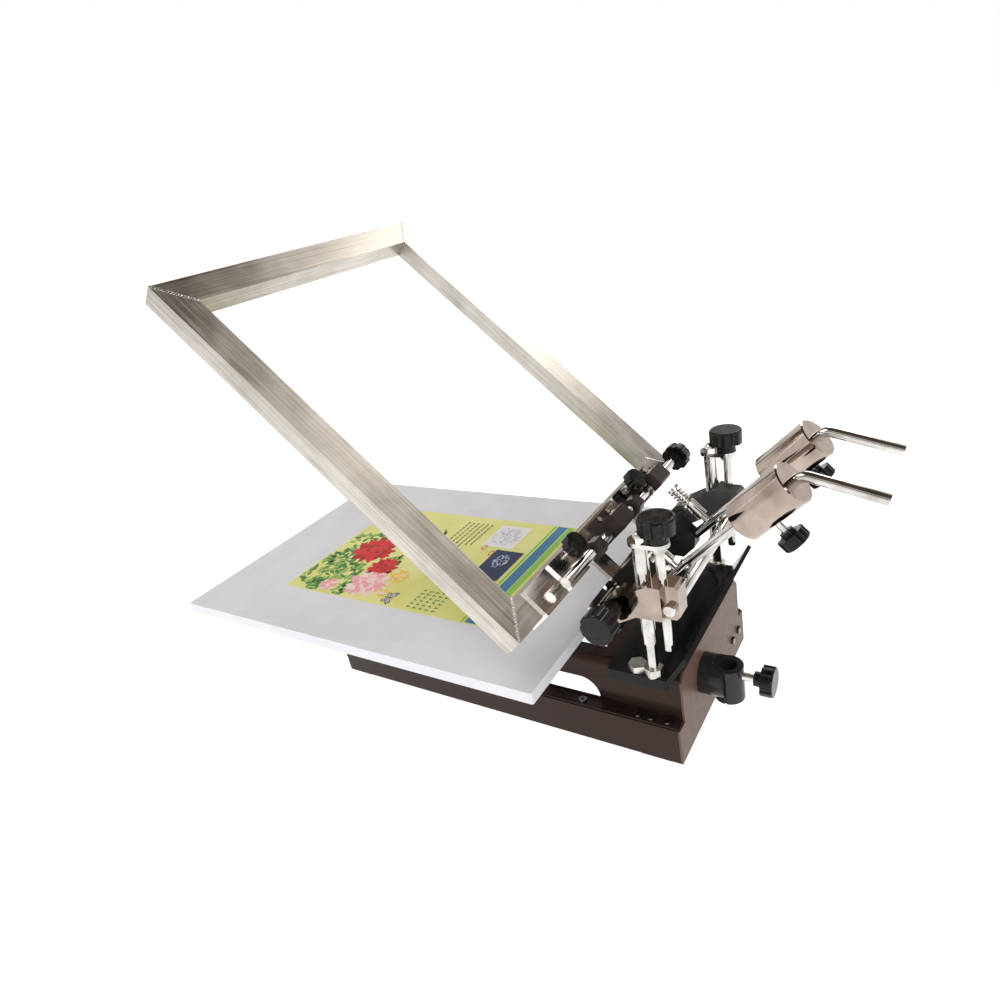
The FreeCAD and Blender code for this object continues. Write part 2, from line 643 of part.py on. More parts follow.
# ---- carriage that rides on the posts ----
def carriage():
    wide = s.shaft_end - s.block_in
    for sign, side in SIDES:
        part = body(f"block_{side}")
        inner = s.block_in if sign > 0 else -s.shaft_end
        round_off = s.block_round
        points = [(s.ear_round * sine(s.ear_turn), -s.ear_round * cosine(s.ear_turn)), (s.block_foot, 0),
                  (s.block_rear - round_off, 0), (s.block_rear, round_off),
                  (s.block_rear, s.block_high - round_off), (s.block_rear - round_off, s.block_high),
                  (s.block_slope, s.block_high),
                  (-s.ear_round * cosine(s.tilt), s.ear_round * sine(s.tilt))]
        pad(part, outline(part, "YZ_Plane", points, inner), wide)
        pad(part, ring(part, "YZ_Plane", (0, 0), 2 * s.ear_round, inner), wide)
        drill(part, "YZ_Plane", (0, 0), s.shaft_wide, inner - s.small, wide + 2 * s.small)
        drill(part, "YZ_Plane", (s.tie_y, s.tie_z), s.tie_bolt_wide, inner - s.small, wide + 2 * s.small)
        outer = s.shaft_end - s.step_deep if sign > 0 else -s.shaft_end - s.small
        cut(part, box_outline(part, "YZ_Plane", s.block_step, s.board_long, -s.small, s.board_wide, outer),
            s.step_deep + s.small)
        bottom = -s.small
        tall = s.block_high + 2 * s.small
        post = (sign * s.post_x, s.post_y - s.hinge_back)
        drill(part, "XY_Plane", post, s.post_wide + 2 * s.fit, bottom, tall)
        screw = (sign * s.post_x, s.lift_y - s.hinge_back)
        drill(part, "XY_Plane", screw, s.lift_wide + 2 * s.fit, bottom, tall)
        node(f"block_{side}", put(part, HINGE))
    bar = turned("bar", [(s.tie_wide / 2, -s.block_in, s.block_in)])
    bore = cylinder(s.tie_bolt_wide, s.block_in - s.tie_bolt_deep, s.block_in + s.small)
    other = cylinder(s.tie_bolt_wide, -s.block_in - s.small, s.tie_bolt_deep - s.block_in)
    both = put(fused([bore, other]), (0, 0, 0))
    drilled = less(bar, both)
    spot = (0, s.hinge_back + s.tie_y, s.hinge_up + s.tie_z)
    node("tie_bar", put(drilled, spot, ALONG_X))
    rows = [("round", s.tie_bolt_wide, s.step_deep - wide - s.tie_bolt_deep / 2, 0),
            ("round", s.shank_ten, 0, s.tie_bolt_wide)]
    bolts = []
    for sign, turn in ((1, ALONG_X), (-1, ALONG_FAR)):
        bolts.append(fastener(rows, (sign * (s.shaft_end - s.step_deep), spot[1], spot[2]), turn))
    together("tie_bolts", bolts)
    end = s.shaft_end
    stud = end + s.star_hinge_neck_tall * 2
    rows = [(s.shaft_wide / 2 + s.metal, -(end + s.plate_thick), -end), (s.shaft_wide / 2, -end, end),
            (s.stud_wide / 2, end, stud)]
    node("hinge_shaft", put(turned("hinge_shaft", rows), HINGE, ALONG_X))
    knob = star_knob("hinge_knob", "hinge", s.stud_wide + 2 * s.fit, s.star_hinge_neck_tall * 2)
    node("hinge_knob", put(knob, (end + s.gap, HINGE[1], HINGE[2]), ALONG_X))


# ---- swing that carries the screen and the weighted arms ----
def swing():
    top = s.swing_low + s.swing_thick
    bolts = []
    for x in (-s.arm_x, s.arm_x):
        for y in (s.swing_front + s.cap_head_tall * 2, s.swing_back - s.cap_head_tall * 2):
            bolts.append((x, y))
    part = body("swing_plate")
    pad(part, box_outline(part, "XY_Plane", -s.swing_half, s.swing_half, s.swing_front, s.swing_back,
                          s.swing_low), s.swing_thick)

    def corner(edge):
        return edge.BoundBox.ZLength > s.metal.value

    soften(part, "Fillet", s.swing_thick, corner)
    for spot in bolts:
        drill(part, "XY_Plane", spot, s.cap_shank, s.swing_low - s.small, s.swing_thick + 2 * s.small)
    node("swing_plate", put(part, HINGE, TILTED))

    part = body("spacer")
    half = s.hub_wide / 2
    pad(part, box_outline(part, "XY_Plane", s.arm_x - half, s.arm_x + half, s.swing_front, s.swing_back, top),
        s.strap_low - top)
    for spot in bolts[2:]:
        drill(part, "XY_Plane", spot, s.cap_shank, top - s.small, s.plate_thick * 2)
    pair("hub_spacers", put(part, HINGE, TILTED))

    part = body("strap")
    half = s.strap_wide / 2
    pad(part, box_outline(part, "XY_Plane", s.arm_x - half, s.arm_x + half, s.strap_front, s.swing_back,
                          s.strap_low), s.strap_thick)

    def nose(edge):
        return edge.BoundBox.ZLength > s.metal.value and edge.BoundBox.YMax < s.strap_front.value + 1

    soften(part, "Fillet", s.strap_thick, nose)
    for spot in bolts[2:]:
        drill(part, "XY_Plane", spot, s.cap_shank, s.strap_low - s.small, s.plate_thick * 2)
    pair("straps", put(part, HINGE, TILTED))

    part = body("hub")
    low = s.strap_low + s.strap_thick
    points = [(s.swing_front, low), (s.swing_back, low), (s.hub_back, low + s.hub_nose * -1),
              (s.hub_back, s.hub_top - s.hub_shoulder), (s.swing_back, s.hub_top), (s.hub_nose, s.hub_top),
              (s.swing_front, s.hub_shoulder)]
    side = s.arm_x - s.hub_wide / 2
    pad(part, outline(part, "YZ_Plane", points, side), s.hub_wide)
    drill(part, "YZ_Plane", (0, 0), s.shaft_wide + 2 * s.fit, side - s.small, s.hub_wide + 2 * s.small)
    for spot in bolts[2:]:
        drill(part, "XY_Plane", spot, s.cap_shank, low - s.small, s.plate_thick + s.small)
    seat = cylinder(s.arm_wide, s.arm_foot, s.weight_low)
    slip = s.lean - s.tilt
    foot = (s.arm_x, s.arm_y * cosine(slip) + s.arm_foot * sine(slip),
            s.arm_foot * cosine(slip) - s.arm_y * sine(slip))
    put(seat, foot, (FreeCAD.Vector(-1, 0, 0), slip))
    pair("hubs", put(less(part, seat), HINGE, TILTED))

    rows = [("round", s.cap_head, -s.cap_head_tall, 0),
            ("round", s.cap_shank, 0, low + s.plate_thick - s.swing_low)]
    spots = [swung(x, y, s.swing_low, s.tilt) for x, y in bolts]
    fasteners("hub_bolts", rows, spots, TILTED)

    part = body("lug")
    left = s.screw_y - s.lug_half
    right = s.screw_y + s.lug_half
    points = [(left, low), (right, low), (right, s.screw_h + s.metal), (s.screw_y + s.lug_flat, s.lug_top),
              (s.screw_y - s.lug_flat, s.lug_top), (left, s.screw_h + s.metal)]
    side = s.arm_x - s.lug_wide / 2
    pad(part, outline(part, "YZ_Plane", points, side), s.lug_wide)
    drill(part, "YZ_Plane", (s.screw_y, s.screw_h), s.side_screw + 2 * s.fit, side - s.small,
          s.lug_wide + 2 * s.small)
    pair("lugs", put(part, HINGE, TILTED))


def bent_arm(name):
    part = body(name)
    run = s.bend_radius * tangent(s.arm_bend / 2)
    tip = (s.arm_y + s.arm_tail * sine(s.arm_bend), s.arm_corner + s.arm_tail * cosine(s.arm_bend))
    start = FreeCAD.Vector(s.arm_y.value, s.arm_foot.value, 0)
    knee = FreeCAD.Vector(s.arm_y.value, (s.arm_corner - run).value, 0)
    centre = knee + FreeCAD.Vector(s.bend_radius.value, 0, 0)
    stop = math.pi - math.radians(s.arm_bend.value)
    reach = FreeCAD.Vector(math.cos(stop), math.sin(stop), 0) * s.bend_radius.value
    path = sketch(part, "YZ_Plane", s.arm_x)
    path.addGeometry(Part.LineSegment(start, knee), False)
    round_path = Part.Circle(centre, FreeCAD.Vector(0, 0, 1), s.bend_radius.value)
    path.addGeometry(Part.ArcOfCircle(round_path, stop, math.pi), False)
    path.addGeometry(Part.LineSegment(centre + reach, FreeCAD.Vector(tip[0].value, tip[1].value, 0)), False)
    path.addConstraint(Sketcher.Constraint("Tangent", 0, 2, 1, 2))
    path.addConstraint(Sketcher.Constraint("Tangent", 1, 1, 2, 1))
    path.addConstraint(Sketcher.Constraint("Vertical", 0))
    fix(path, "DistanceX", 0, 1, s.arm_y)
    fix(path, "DistanceY", 0, 1, s.arm_foot)
    place = path.addConstraint(Sketcher.Constraint("Radius", 1, s.bend_radius.value))
    path.setExpression(f"Constraints[{place}]", s.bend_radius.text)
    fix(path, "DistanceY", 0, 2, s.arm_corner - run)
    fix(path, "DistanceX", 2, 2, tip[0])
    fix(path, "DistanceY", 2, 2, tip[1])
    rod = part.newObject("PartDesign::AdditivePipe", "Rod")
    rod.Profile = ring(part, "XY_Plane", (s.arm_x, s.arm_y), s.arm_wide, s.arm_foot)
    rod.Spine = (path, [])
    doc.recompute()
    return part


def arms():
    pair("arms", put(bent_arm("arm"), HINGE, LEANING))
    slip = s.lean - s.tilt
    front = s.pin_end - s.pin_head
    rows = [(s.pin_wide / 2, front, s.pin_end), (s.pin_core / 2, s.pin_end, s.pin_front),
            (s.pin_wide / 2, s.pin_front, s.pin_front + s.pin_long),
            (s.pin_neck / 2, s.pin_front + s.pin_long, s.arm_y - s.metal / 2)]
    pin = put(turned("pin", rows), (s.arm_x, 0, s.pin_h), ALONG_Y)
    rod = cylinder(s.arm_wide, 0, s.weight_low)
    put(rod, (s.arm_x, s.arm_y * cosine(slip), -s.arm_y * sine(slip)), (FreeCAD.Vector(-1, 0, 0), slip))
    pair("spring_pins", put(less(pin, rod), HINGE, TILTED))
    coil = doc.addObject("Part::Helix", "Coil")
    room = s.pin_front - s.pin_end - s.coil_wire
    bind(coil, "Pitch", s.coil_pitch)
    bind(coil, "Height", room)
    bind(coil, "Radius", s.coil_across / 2)
    put(coil, (s.arm_x, s.pin_end + s.coil_wire / 2, s.pin_h), ALONG_Y)
    wire = doc.addObject("Part::Circle", "Wire")
    bind(wire, "Radius", s.coil_wire / 2)
    put(wire, (s.arm_x + s.coil_across / 2, s.pin_end + s.coil_wire / 2, s.pin_h))
    spring = doc.addObject("Part::Sweep", "Spring")
    spring.Sections = [wire]
    spring.Spine = (coil, [])
    spring.Solid = True
    spring.Frenet = True
    pair("springs", put(spring, HINGE, TILTED))


def weights():
    for sign, side in SIDES:
        x = sign * s.arm_x
        lock_h, out = size(f"lock_{side}_h"), size(f"lock_{side}_out")
        part = body(f"weight_{side}")
        pad(part, ring(part, "XY_Plane", (x, s.arm_y), s.weight_wide, s.weight_low), s.weight_long)

        def rim(edge):
            return edge.BoundBox.ZLength < s.small.value

        soften(part, "Chamfer", s.small * 2, rim)
        drill(part, "XY_Plane", (x, s.arm_y), s.arm_wide + 2 * s.fit, s.weight_low - s.small,
              s.weight_long + 2 * s.small)
        outside = s.arm_y + s.weight_wide
        cut(part, ring(part, "XZ_Plane", (x, lock_h), s.lock_wide, -outside), s.weight_wide)
        node(f"weight_{side}", put(part, HINGE, LEANING))
        start = s.arm_y + s.arm_wide / 2 + s.gap
        seat = s.arm_y + s.weight_wide / 2 + out
        length = seat - start + s.star_lock_neck_tall
        stud = turned(f"weight_stud_{side}", [(s.lock_wide / 2 - s.fit, 0, length)])
        node(f"weight_stud_{side}", put(stud, swung(x, start, lock_h, s.lean), LEANING_ACROSS))
        knob = star_knob(f"weight_knob_{side}", "lock", s.lock_wide - 2 * s.fit, s.star_lock_neck_tall)
        node(f"weight_knob_{side}", put(knob, swung(x, seat, lock_h, s.lean), LEANING_ACROSS))


# ---- screen holder ----
def holder():
    under = s.frame_top - s.tube_tall
    back = s.frame_rear + s.sheet_metal
    front = back - s.flange_deep
    low = under - s.sheet_metal
    top = s.frame_top + s.sheet_metal
    part = body("screen_channel")
    points = [(back, low), (back, top), (front, top), (front, s.frame_top), (s.frame_rear, s.frame_top),
              (s.frame_rear, under), (back - s.lip_deep, under), (back - s.lip_deep, low)]
    pad(part, outline(part, "YZ_Plane", points), 2 * s.holder_half, middle=True)
    for x in (-s.clamp_x, s.clamp_x):
        drill(part, "XY_Plane", (x, s.clamp_y), s.clamp_wide + 2 * s.fit, s.frame_top - s.small,
              s.sheet_metal + 2 * s.small)
    node("screen_channel", put(part, HINGE, TILTED))
    part = body("bed_plate")
    pad(part, box_outline(part, "XY_Plane", -s.bed_half, s.bed_half, front, back, top), s.sheet_metal)
    for x in (-s.clamp_x, s.clamp_x):
        drill(part, "XY_Plane", (x, s.clamp_y), s.clamp_wide + 2 * s.fit, top - s.small,
              s.sheet_metal + 2 * s.small)
    node("bed_plate", put(part, HINGE, TILTED))

    foot = top + s.sheet_metal
    pieces = []
    bolts = []
    for x in (size(0), s.cast_far):
        part = body("casting")
        shoulder = s.cast_front + s.lug_half
        points = [(s.cast_back, foot), (s.cast_back, s.cast_top - s.metal), (s.cast_back - s.metal, s.cast_top),
                  (shoulder, s.cast_top), (shoulder - s.metal, s.screw_h - s.metal),
                  (s.cast_front, s.screw_h - s.metal),
                  (s.cast_front, foot)]
        side = x - s.cast_wide / 2
        pad(part, outline(part, "YZ_Plane", points, side), s.cast_wide)
        drill(part, "YZ_Plane", (s.screw_y, s.screw_h), s.side_screw + 2 * s.fit, side - s.small,
              s.cast_wide + 2 * s.small)
        for across in (-s.cap_head, s.cap_head):
            spot = (x + across, s.cast_front + s.plate_thick)
            drill(part, "XY_Plane", spot, s.pan_shank, foot - s.small, s.cast_top)
            bolts.append(swung(spot[0], spot[1], s.screw_h - s.metal, s.tilt))
        pieces.append(put(part, HINGE, TILTED))
    together("castings", pieces)
    rows = [("round", s.pan_shank, foot - s.screw_h + s.metal, 0), ("round", s.tie_bolt_wide, 0, s.metal)]
    fasteners("casting_bolts", rows, bolts, TILTED)

    start = s.side_far - s.star_side_neck_tall
    screw = turned("lateral_screw", [(s.side_screw / 2, start, s.side_near)])
    axis = swung(0, s.screw_y, s.screw_h, s.tilt)
    node("lateral_screw", put(screw, axis, ALONG_X))
    knob = star_knob("lateral_knob", "side", s.side_screw, s.star_side_neck_tall + s.star_side_neck_tall)
    node("lateral_knob", put(knob, (s.side_far + s.star_side_neck_tall, axis[1], axis[2]), ALONG_FAR))
    collars = []
    for face in (s.cast_far + s.cast_wide / 2 + s.gap, s.cast_far - s.cast_wide / 2 - s.gap - s.lift_collar_tall):
        outer = cylinder(s.side_screw + s.pad_wide / 2, 0, s.lift_collar_tall)
        whole = less(outer, cylinder(s.side_screw, -s.small, s.lift_collar_tall + s.small))
        collars.append(put(whole, (face, axis[1], axis[2]), ALONG_X))
    together("screw_collars", collars)

    tip = s.frame_top + s.gap
    seat = foot + s.clamp_wide + s.metal
    for sign, side in SIDES:
        x = sign * s.clamp_x
        stud = turned(f"clamp_screw_{side}", [(s.clamp_wide / 2, 0, seat - tip + s.star_clamp_neck_tall)])
        node(f"clamp_screw_{side}", put(stud, swung(x, s.clamp_y, tip, s.tilt), TILTED))
        knob = star_knob(f"holder_knob_{side}", "clamp", s.clamp_wide, s.star_clamp_neck_tall)
        node(f"holder_knob_{side}", put(knob, swung(x, s.clamp_y, seat, s.tilt), TILTED))


# ---- aluminium screen frame of four mitred tubes ----
def screen_frame():
    half = s.frame_wide / 2
    rear = s.frame_rear
    front = rear - s.frame_long
    wide = s.tube_wide
    wall = s.tube_wall
    under = s.frame_top - s.tube_tall

    def rail(label, corners, hollow):
        part = body(label)
        pad(part, outline(part, "XY_Plane", corners, under), s.tube_tall)
        cut(part, outline(part, "XY_Plane", hollow, under + wall), s.tube_tall - 2 * wall)
        node(label, put(part, HINGE, TILTED))

    def across(edge, inward):
        near = edge + inward * wall
        far = edge + inward * (wide - wall)
        inner = edge + inward * wide
        corners = [(-half, edge), (half, edge), (half - wide, inner), (wide - half, inner)]
        hollow = [(wall - half, near), (half - wall, near), (half - wide + wall, far), (wide - half - wall, far)]
        return corners, hollow

    def along(sign):
        corners = [(sign * half, front), (sign * half, rear), (sign * (half - wide), rear - wide),
                   (sign * (half - wide), front + wide)]
        hollow = [(sign * (half - wall), front + wall), (sign * (half - wall), rear - wall),
                  (sign * (half - wide + wall), rear - wide + wall),
                  (sign * (half - wide + wall), front + wide - wall)]
        return corners, hollow

    rail("rail_front", *across(front, 1))
    rail("rail_rear", *across(rear, -1))
    rail("rail_near", *along(1))
    rail("rail_far", *along(-1))
    beads = []
    thin = s.bead_wide / 2
    for x, sign in ((half, 1), (-half, -1)):
        for y, inward in ((front, 1), (rear, -1)):
            part = body("bead")
            points = [(x - sign * thin, y), (x, y), (x, y + inward * thin),
                      (x - sign * (wide - thin), y + inward * wide), (x - sign * wide, y + inward * wide),
                      (x - sign * wide, y + inward * (wide - thin))]
            pad(part, outline(part, "XY_Plane", points, s.frame_top), s.bead_tall)
            beads.append(put(part, HINGE, TILTED))
    together("weld_beads", beads)


BUILDS = (base_pan, base_housing, rear_panel, base_fasteners, board, rear_socket, head_bracket, posts,
          height_screws, carriage, swing, arms, weights, holder, screen_frame)
for build in BUILDS:
    build()
doc.recompute()

for item in doc.Objects:
    for state in item.State:
        if state in ("Invalid", "Error"):
            raise ValueError(f"{item.Label} is {state}")
for item in NODES:
    shape = item.Shape
    if shape.isNull() or not shape.isValid():
        raise ValueError(f"{item.Label} has no valid shape")
    shape.exportStep(f"parts/{item.Label}.step")
    print(item.Label, len(shape.Solids), round(shape.Volume))
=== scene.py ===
import json
import math
import random

import bmesh
import bpy
from mathutils import Matrix, Vector


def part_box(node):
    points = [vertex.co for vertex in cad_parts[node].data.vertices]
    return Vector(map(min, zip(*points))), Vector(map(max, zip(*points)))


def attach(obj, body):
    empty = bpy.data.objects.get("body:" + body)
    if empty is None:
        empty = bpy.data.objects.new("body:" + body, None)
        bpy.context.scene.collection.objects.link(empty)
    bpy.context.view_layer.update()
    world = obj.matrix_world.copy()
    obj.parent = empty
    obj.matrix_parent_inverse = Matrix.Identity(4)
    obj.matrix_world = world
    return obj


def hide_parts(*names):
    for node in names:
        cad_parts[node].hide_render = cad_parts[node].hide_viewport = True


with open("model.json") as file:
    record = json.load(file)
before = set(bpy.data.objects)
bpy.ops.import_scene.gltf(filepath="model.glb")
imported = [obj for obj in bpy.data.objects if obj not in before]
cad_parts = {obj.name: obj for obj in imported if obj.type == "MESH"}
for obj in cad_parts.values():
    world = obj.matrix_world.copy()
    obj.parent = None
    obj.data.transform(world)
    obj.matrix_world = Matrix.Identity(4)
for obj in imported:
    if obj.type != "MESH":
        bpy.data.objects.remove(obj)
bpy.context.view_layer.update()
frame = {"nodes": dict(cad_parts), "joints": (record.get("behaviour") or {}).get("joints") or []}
nodes = frame["nodes"]
mm = 0.001
fullTurn = 2 * math.pi
print("frame loaded:", len(nodes), "nodes")

# camera, where a visitor would stand beside the hinge head; angles in degrees
shot = {
    "place": (0.5618, 0.4192, 0.5180), "azimuth": 127.0, "elevation": 24.0, "roll": -11.6,
    "lens": 25.83, "nearest": 0.01,
}


def aimCamera():
    azimuth, elevation, roll = (math.radians(shot[key]) for key in ("azimuth", "elevation", "roll"))
    back = Vector((math.sin(azimuth) * math.cos(elevation), -math.cos(azimuth) * math.cos(elevation),
                   math.sin(elevation)))
    right = (-back).cross(Vector((0, 0, 1))).normalized()
    up = right.cross(-back)
    turnedRight = math.cos(roll) * right + math.sin(roll) * up
    turnedUp = math.cos(roll) * up - math.sin(roll) * right
    turn = Matrix((turnedRight, turnedUp, back)).transposed().to_4x4()
    lens = bpy.data.cameras.new("viewCamera")
    lens.lens = shot["lens"]
    lens.clip_start = shot["nearest"]
    camera = bpy.data.objects.new("viewCamera", lens)
    camera.matrix_world = Matrix.Translation(shot["place"]) @ turn
    bpy.context.collection.objects.link(camera)
    bpy.context.scene.camera = camera


aimCamera()
bpy.context.scene.view_settings.view_transform = "Standard"
print("camera placed")


# shared material parts
def newMaterial(name):
    material = bpy.data.materials.new(name)
    material.use_nodes = True
    tree = material.node_tree
    return material, tree, tree.nodes["Principled BSDF"]


def coordinates(tree, scale=(1, 1, 1), turn=0.0):
    where = tree.nodes.new("ShaderNodeTexCoord")
    mapping = tree.nodes.new("ShaderNodeMapping")
    mapping.vector_type = "TEXTURE"  # turned first, then stretched
    mapping.inputs["Scale"].default_value = [1 / value for value in scale]
    mapping.inputs["Rotation"].default_value = (-turn, 0, 0)
    tree.links.new(where.outputs["Object"], mapping.inputs["Vector"])
    return mapping.outputs["Vector"]


def noise(tree, vector, scale, detail=4.0, rough=0.55):
    made = tree.nodes.new("ShaderNodeTexNoise")
    made.inputs["Scale"].default_value = scale
    made.inputs["Detail"].default_value = detail
    made.inputs["Roughness"].default_value = rough
    tree.links.new(vector, made.inputs["Vector"])
    return made.outputs["Fac"]


def ramp(tree, factor, stops):
    made = tree.nodes.new("ShaderNodeValToRGB")
    bar = made.color_ramp
    while len(bar.elements) < len(stops):
        bar.elements.new(0.5)
    for element, (place, colour) in zip(bar.elements, stops):
        element.position = place
        element.color = tuple(colour) + (1,)
    tree.links.new(factor, made.inputs["Fac"])
    return made.outputs["Color"]


def remap(tree, factor, low, high, fromLow=0.3, fromHigh=0.7):
    made = tree.nodes.new("ShaderNodeMapRange")
    made.inputs["From Min"].default_value = fromLow
    made.inputs["From Max"].default_value = fromHigh
    made.inputs["To Min"].default_value = low
    made.inputs["To Max"].default_value = high
    tree.links.new(factor, made.inputs["Value"])
    return made.outputs["Result"]


def bump(tree, shader, height, strength, distance):
    made = tree.nodes.new("ShaderNodeBump")
    made.inputs["Strength"].default_value = strength
    made.inputs["Distance"].default_value = distance
    tree.links.new(height, made.inputs["Height"])
    tree.links.new(made.outputs["Normal"], shader.inputs["Normal"])


# room: pale glowing floor, white horizon, and brown and pale bands overhead for the chrome to show
room = {
    "floorSize": 60.0, "floorCells": 4, "floorDrop": 0.0002, "floorColour": (0.55, 0.55, 0.55, 1),
    "floorRough": 0.9, "floorGlow": 0.93, "skyStrength": 1.0, "lampAim": (0, 0, 0.15),
    "bands": [
        (0.00, (1.0, 1.0, 1.0)),
        (0.34, (1.0, 1.0, 1.0)),
        (0.40, (0.10, 0.065, 0.048)),
        (0.51, (0.20, 0.135, 0.10)),
        (0.57, (0.62, 0.55, 0.49)),
        (0.66, (0.74, 0.70, 0.66)),
        (0.74, (0.16, 0.12, 0.10)),
        (1.00, (0.05, 0.045, 0.04)),
    ],
    "lamps": [
        {"name": "keyLamp", "place": (0.9, -1.0, 2.1), "size": 1.1, "power": 21,
         "colour": (1.0, 0.99, 0.97), "shine": 0.5},
        {"name": "fillLamp", "place": (1.5, 1.6, 1.5), "size": 0.9, "power": 9,
         "colour": (0.97, 0.98, 1.0), "shine": 1.0},
        {"name": "farLamp", "place": (-1.7, 0.2, 1.6), "size": 0.9, "power": 10,
         "colour": (1.0, 0.97, 0.92), "shine": 0.15},
    ],
}


def layFloor():
    cells = room["floorCells"]
    bpy.ops.mesh.primitive_grid_add(x_subdivisions=cells, y_subdivisions=cells, size=room["floorSize"])
    floor = bpy.context.object
    floor.name = "paleFloor"
    floor.location.z = -room["floorDrop"]
    material, _, shader = newMaterial("paleFloorPaint")
    shader.inputs["Base Color"].default_value = room["floorColour"]
    shader.inputs["Roughness"].default_value = room["floorRough"]
    shader.inputs["Specular IOR Level"].default_value = 0.0
    shader.inputs["Emission Color"].default_value = (1, 1, 1, 1)
    shader.inputs["Emission Strength"].default_value = room["floorGlow"]
    floor.data.materials.append(material)


def paintSky():
    world = bpy.data.worlds.new("studio")
    bpy.context.scene.world = world
    world.use_nodes = True
    tree = world.node_tree
    tree.nodes.clear()
    output = tree.nodes.new("ShaderNodeOutputWorld")
    sky = tree.nodes.new("ShaderNodeBackground")
    sky.inputs["Strength"].default_value = room["skyStrength"]
    where = tree.nodes.new("ShaderNodeTexCoord")
    split = tree.nodes.new("ShaderNodeSeparateXYZ")
    tree.links.new(where.outputs["Generated"], split.inputs[0])
    tree.links.new(ramp(tree, split.outputs["Z"], room["bands"]), sky.inputs["Color"])
    tree.links.new(sky.outputs[0], output.inputs["Surface"])


def hangLamps():
    for lamp in room["lamps"]:
        data = bpy.data.lights.new(lamp["name"], "AREA")
        data.size = lamp["size"]
        data.energy = lamp["power"]
        data.color = lamp["colour"]
        data.specular_factor = lamp["shine"]
        light = bpy.data.objects.new(lamp["name"], data)
        light.location = lamp["place"]
        aim = Vector(room["lampAim"]) - light.location
        light.rotation_euler = aim.to_track_quat("-Z", "Y").to_euler()
        bpy.context.collection.objects.link(light)


layFloor()
paintSky()
hangLamps()
print("room lit")

# painted and enamelled finishes, as a maker would name them; the rear panel's lighter, redder brown is
# painted reflection
finishes = {
    "basePaint": {
        "dark": (0.004, 0.0022, 0.0018), "light": (0.014, 0.0075, 0.006), "worn": (0.04, 0.026, 0.022),
        "rough": (0.14, 0.26), "peel": 900, "coat": 0.0, "shine": 0.24, "tint": (0.74, 0.42, 0.34)},
    # rear panel: the base's dark paint lightened and reddened, a painted brown reflection of the room
    "panelPaintWithPaintedReflection": {
        "dark": (0.075, 0.040, 0.029), "light": (0.135, 0.078, 0.057), "worn": (0.17, 0.11, 0.085),
        "rough": (0.30, 0.42), "peel": 900, "coat": 0.0, "shine": 0.14, "tint": (0.72, 0.45, 0.36)},
    "bracketEnamel": {
        "dark": (0.0028, 0.0028, 0.0028), "light": (0.008, 0.008, 0.008), "worn": (0.035, 0.035, 0.034),
        "rough": (0.08, 0.18), "peel": 700, "coat": 0.0, "shine": 0.06, "tint": (1, 1, 1)},
    "barrelEnamel": {
        "dark": (0.003, 0.003, 0.003), "light": (0.010, 0.0095, 0.009), "worn": (0.05, 0.048, 0.046),
        "rough": (0.10, 0.20), "peel": 500, "coat": 0.1, "shine": 0.2, "tint": (1, 1, 1)},
    "castingEnamel": {
        "dark": (0.005, 0.004, 0.0035), "light": (0.015, 0.011, 0.010), "worn": (0.08, 0.065, 0.06),
        "rough": (0.12, 0.26), "peel": 500, "coat": 0.1, "shine": 0.2, "tint": (0.9, 0.78, 0.72)},
    "blockEnamel": {
        "dark": (0.006, 0.007, 0.006), "light": (0.018, 0.020, 0.018), "worn": (0.12, 0.13, 0.12),
        "rough": (0.08, 0.20), "peel": 600, "coat": 0.15, "shine": 0.2, "tint": (0.94, 0.96, 0.94)},
}
enamelGrain = {
    "broad": 18.0, "stops": (0.35, 0.68), "fine": 120.0, "fineDetail": 6.0, "coatRough": 0.06,
    "peelDetail": 2.0, "peelStrength": 0.12, "peelDeep": 0.0004, "wornShare": 0.6, "edge": (0.52, 0.62),
}
colourMix = {"first": 6, "second": 7, "result": 2}  # a mix node's sockets for colours


def wear(tree, colour, worn):
    # lighter, rubbed edges from the mesh's own pointiness
    shape = tree.nodes.new("ShaderNodeNewGeometry")
    edge = remap(tree, shape.outputs["Pointiness"], 0.0, enamelGrain["wornShare"], *enamelGrain["edge"])
    mix = tree.nodes.new("ShaderNodeMix")
    mix.data_type = "RGBA"
    tree.links.new(edge, mix.inputs["Factor"])
    tree.links.new(colour, mix.inputs[colourMix["first"]])
    mix.inputs[colourMix["second"]].default_value = tuple(worn) + (1,)
    return mix.outputs[colourMix["result"]]


def enamel(name):
    look = finishes[name]
    grain = enamelGrain
    material, tree, shader = newMaterial(name)
    vector = coordinates(tree)
    broad = noise(tree, vector, grain["broad"])
    colour = ramp(tree, broad, list(zip(grain["stops"], (look["dark"], look["light"]))))
    tree.links.new(wear(tree, colour, look["worn"]), shader.inputs["Base Color"])
    fine = noise(tree, vector, grain["fine"], grain["fineDetail"])
    tree.links.new(remap(tree, fine, *look["rough"]), shader.inputs["Roughness"])
    shader.inputs["Specular IOR Level"].default_value = look["shine"]
    shader.inputs["Specular Tint"].default_value = look["tint"] + (1,)
    shader.inputs["Coat Weight"].default_value = look["coat"]
    shader.inputs["Coat Roughness"].default_value = grain["coatRough"]
    peel = noise(tree, vector, look["peel"], grain["peelDetail"])
    bump(tree, shader, peel, grain["peelStrength"], grain["peelDeep"])
    return material
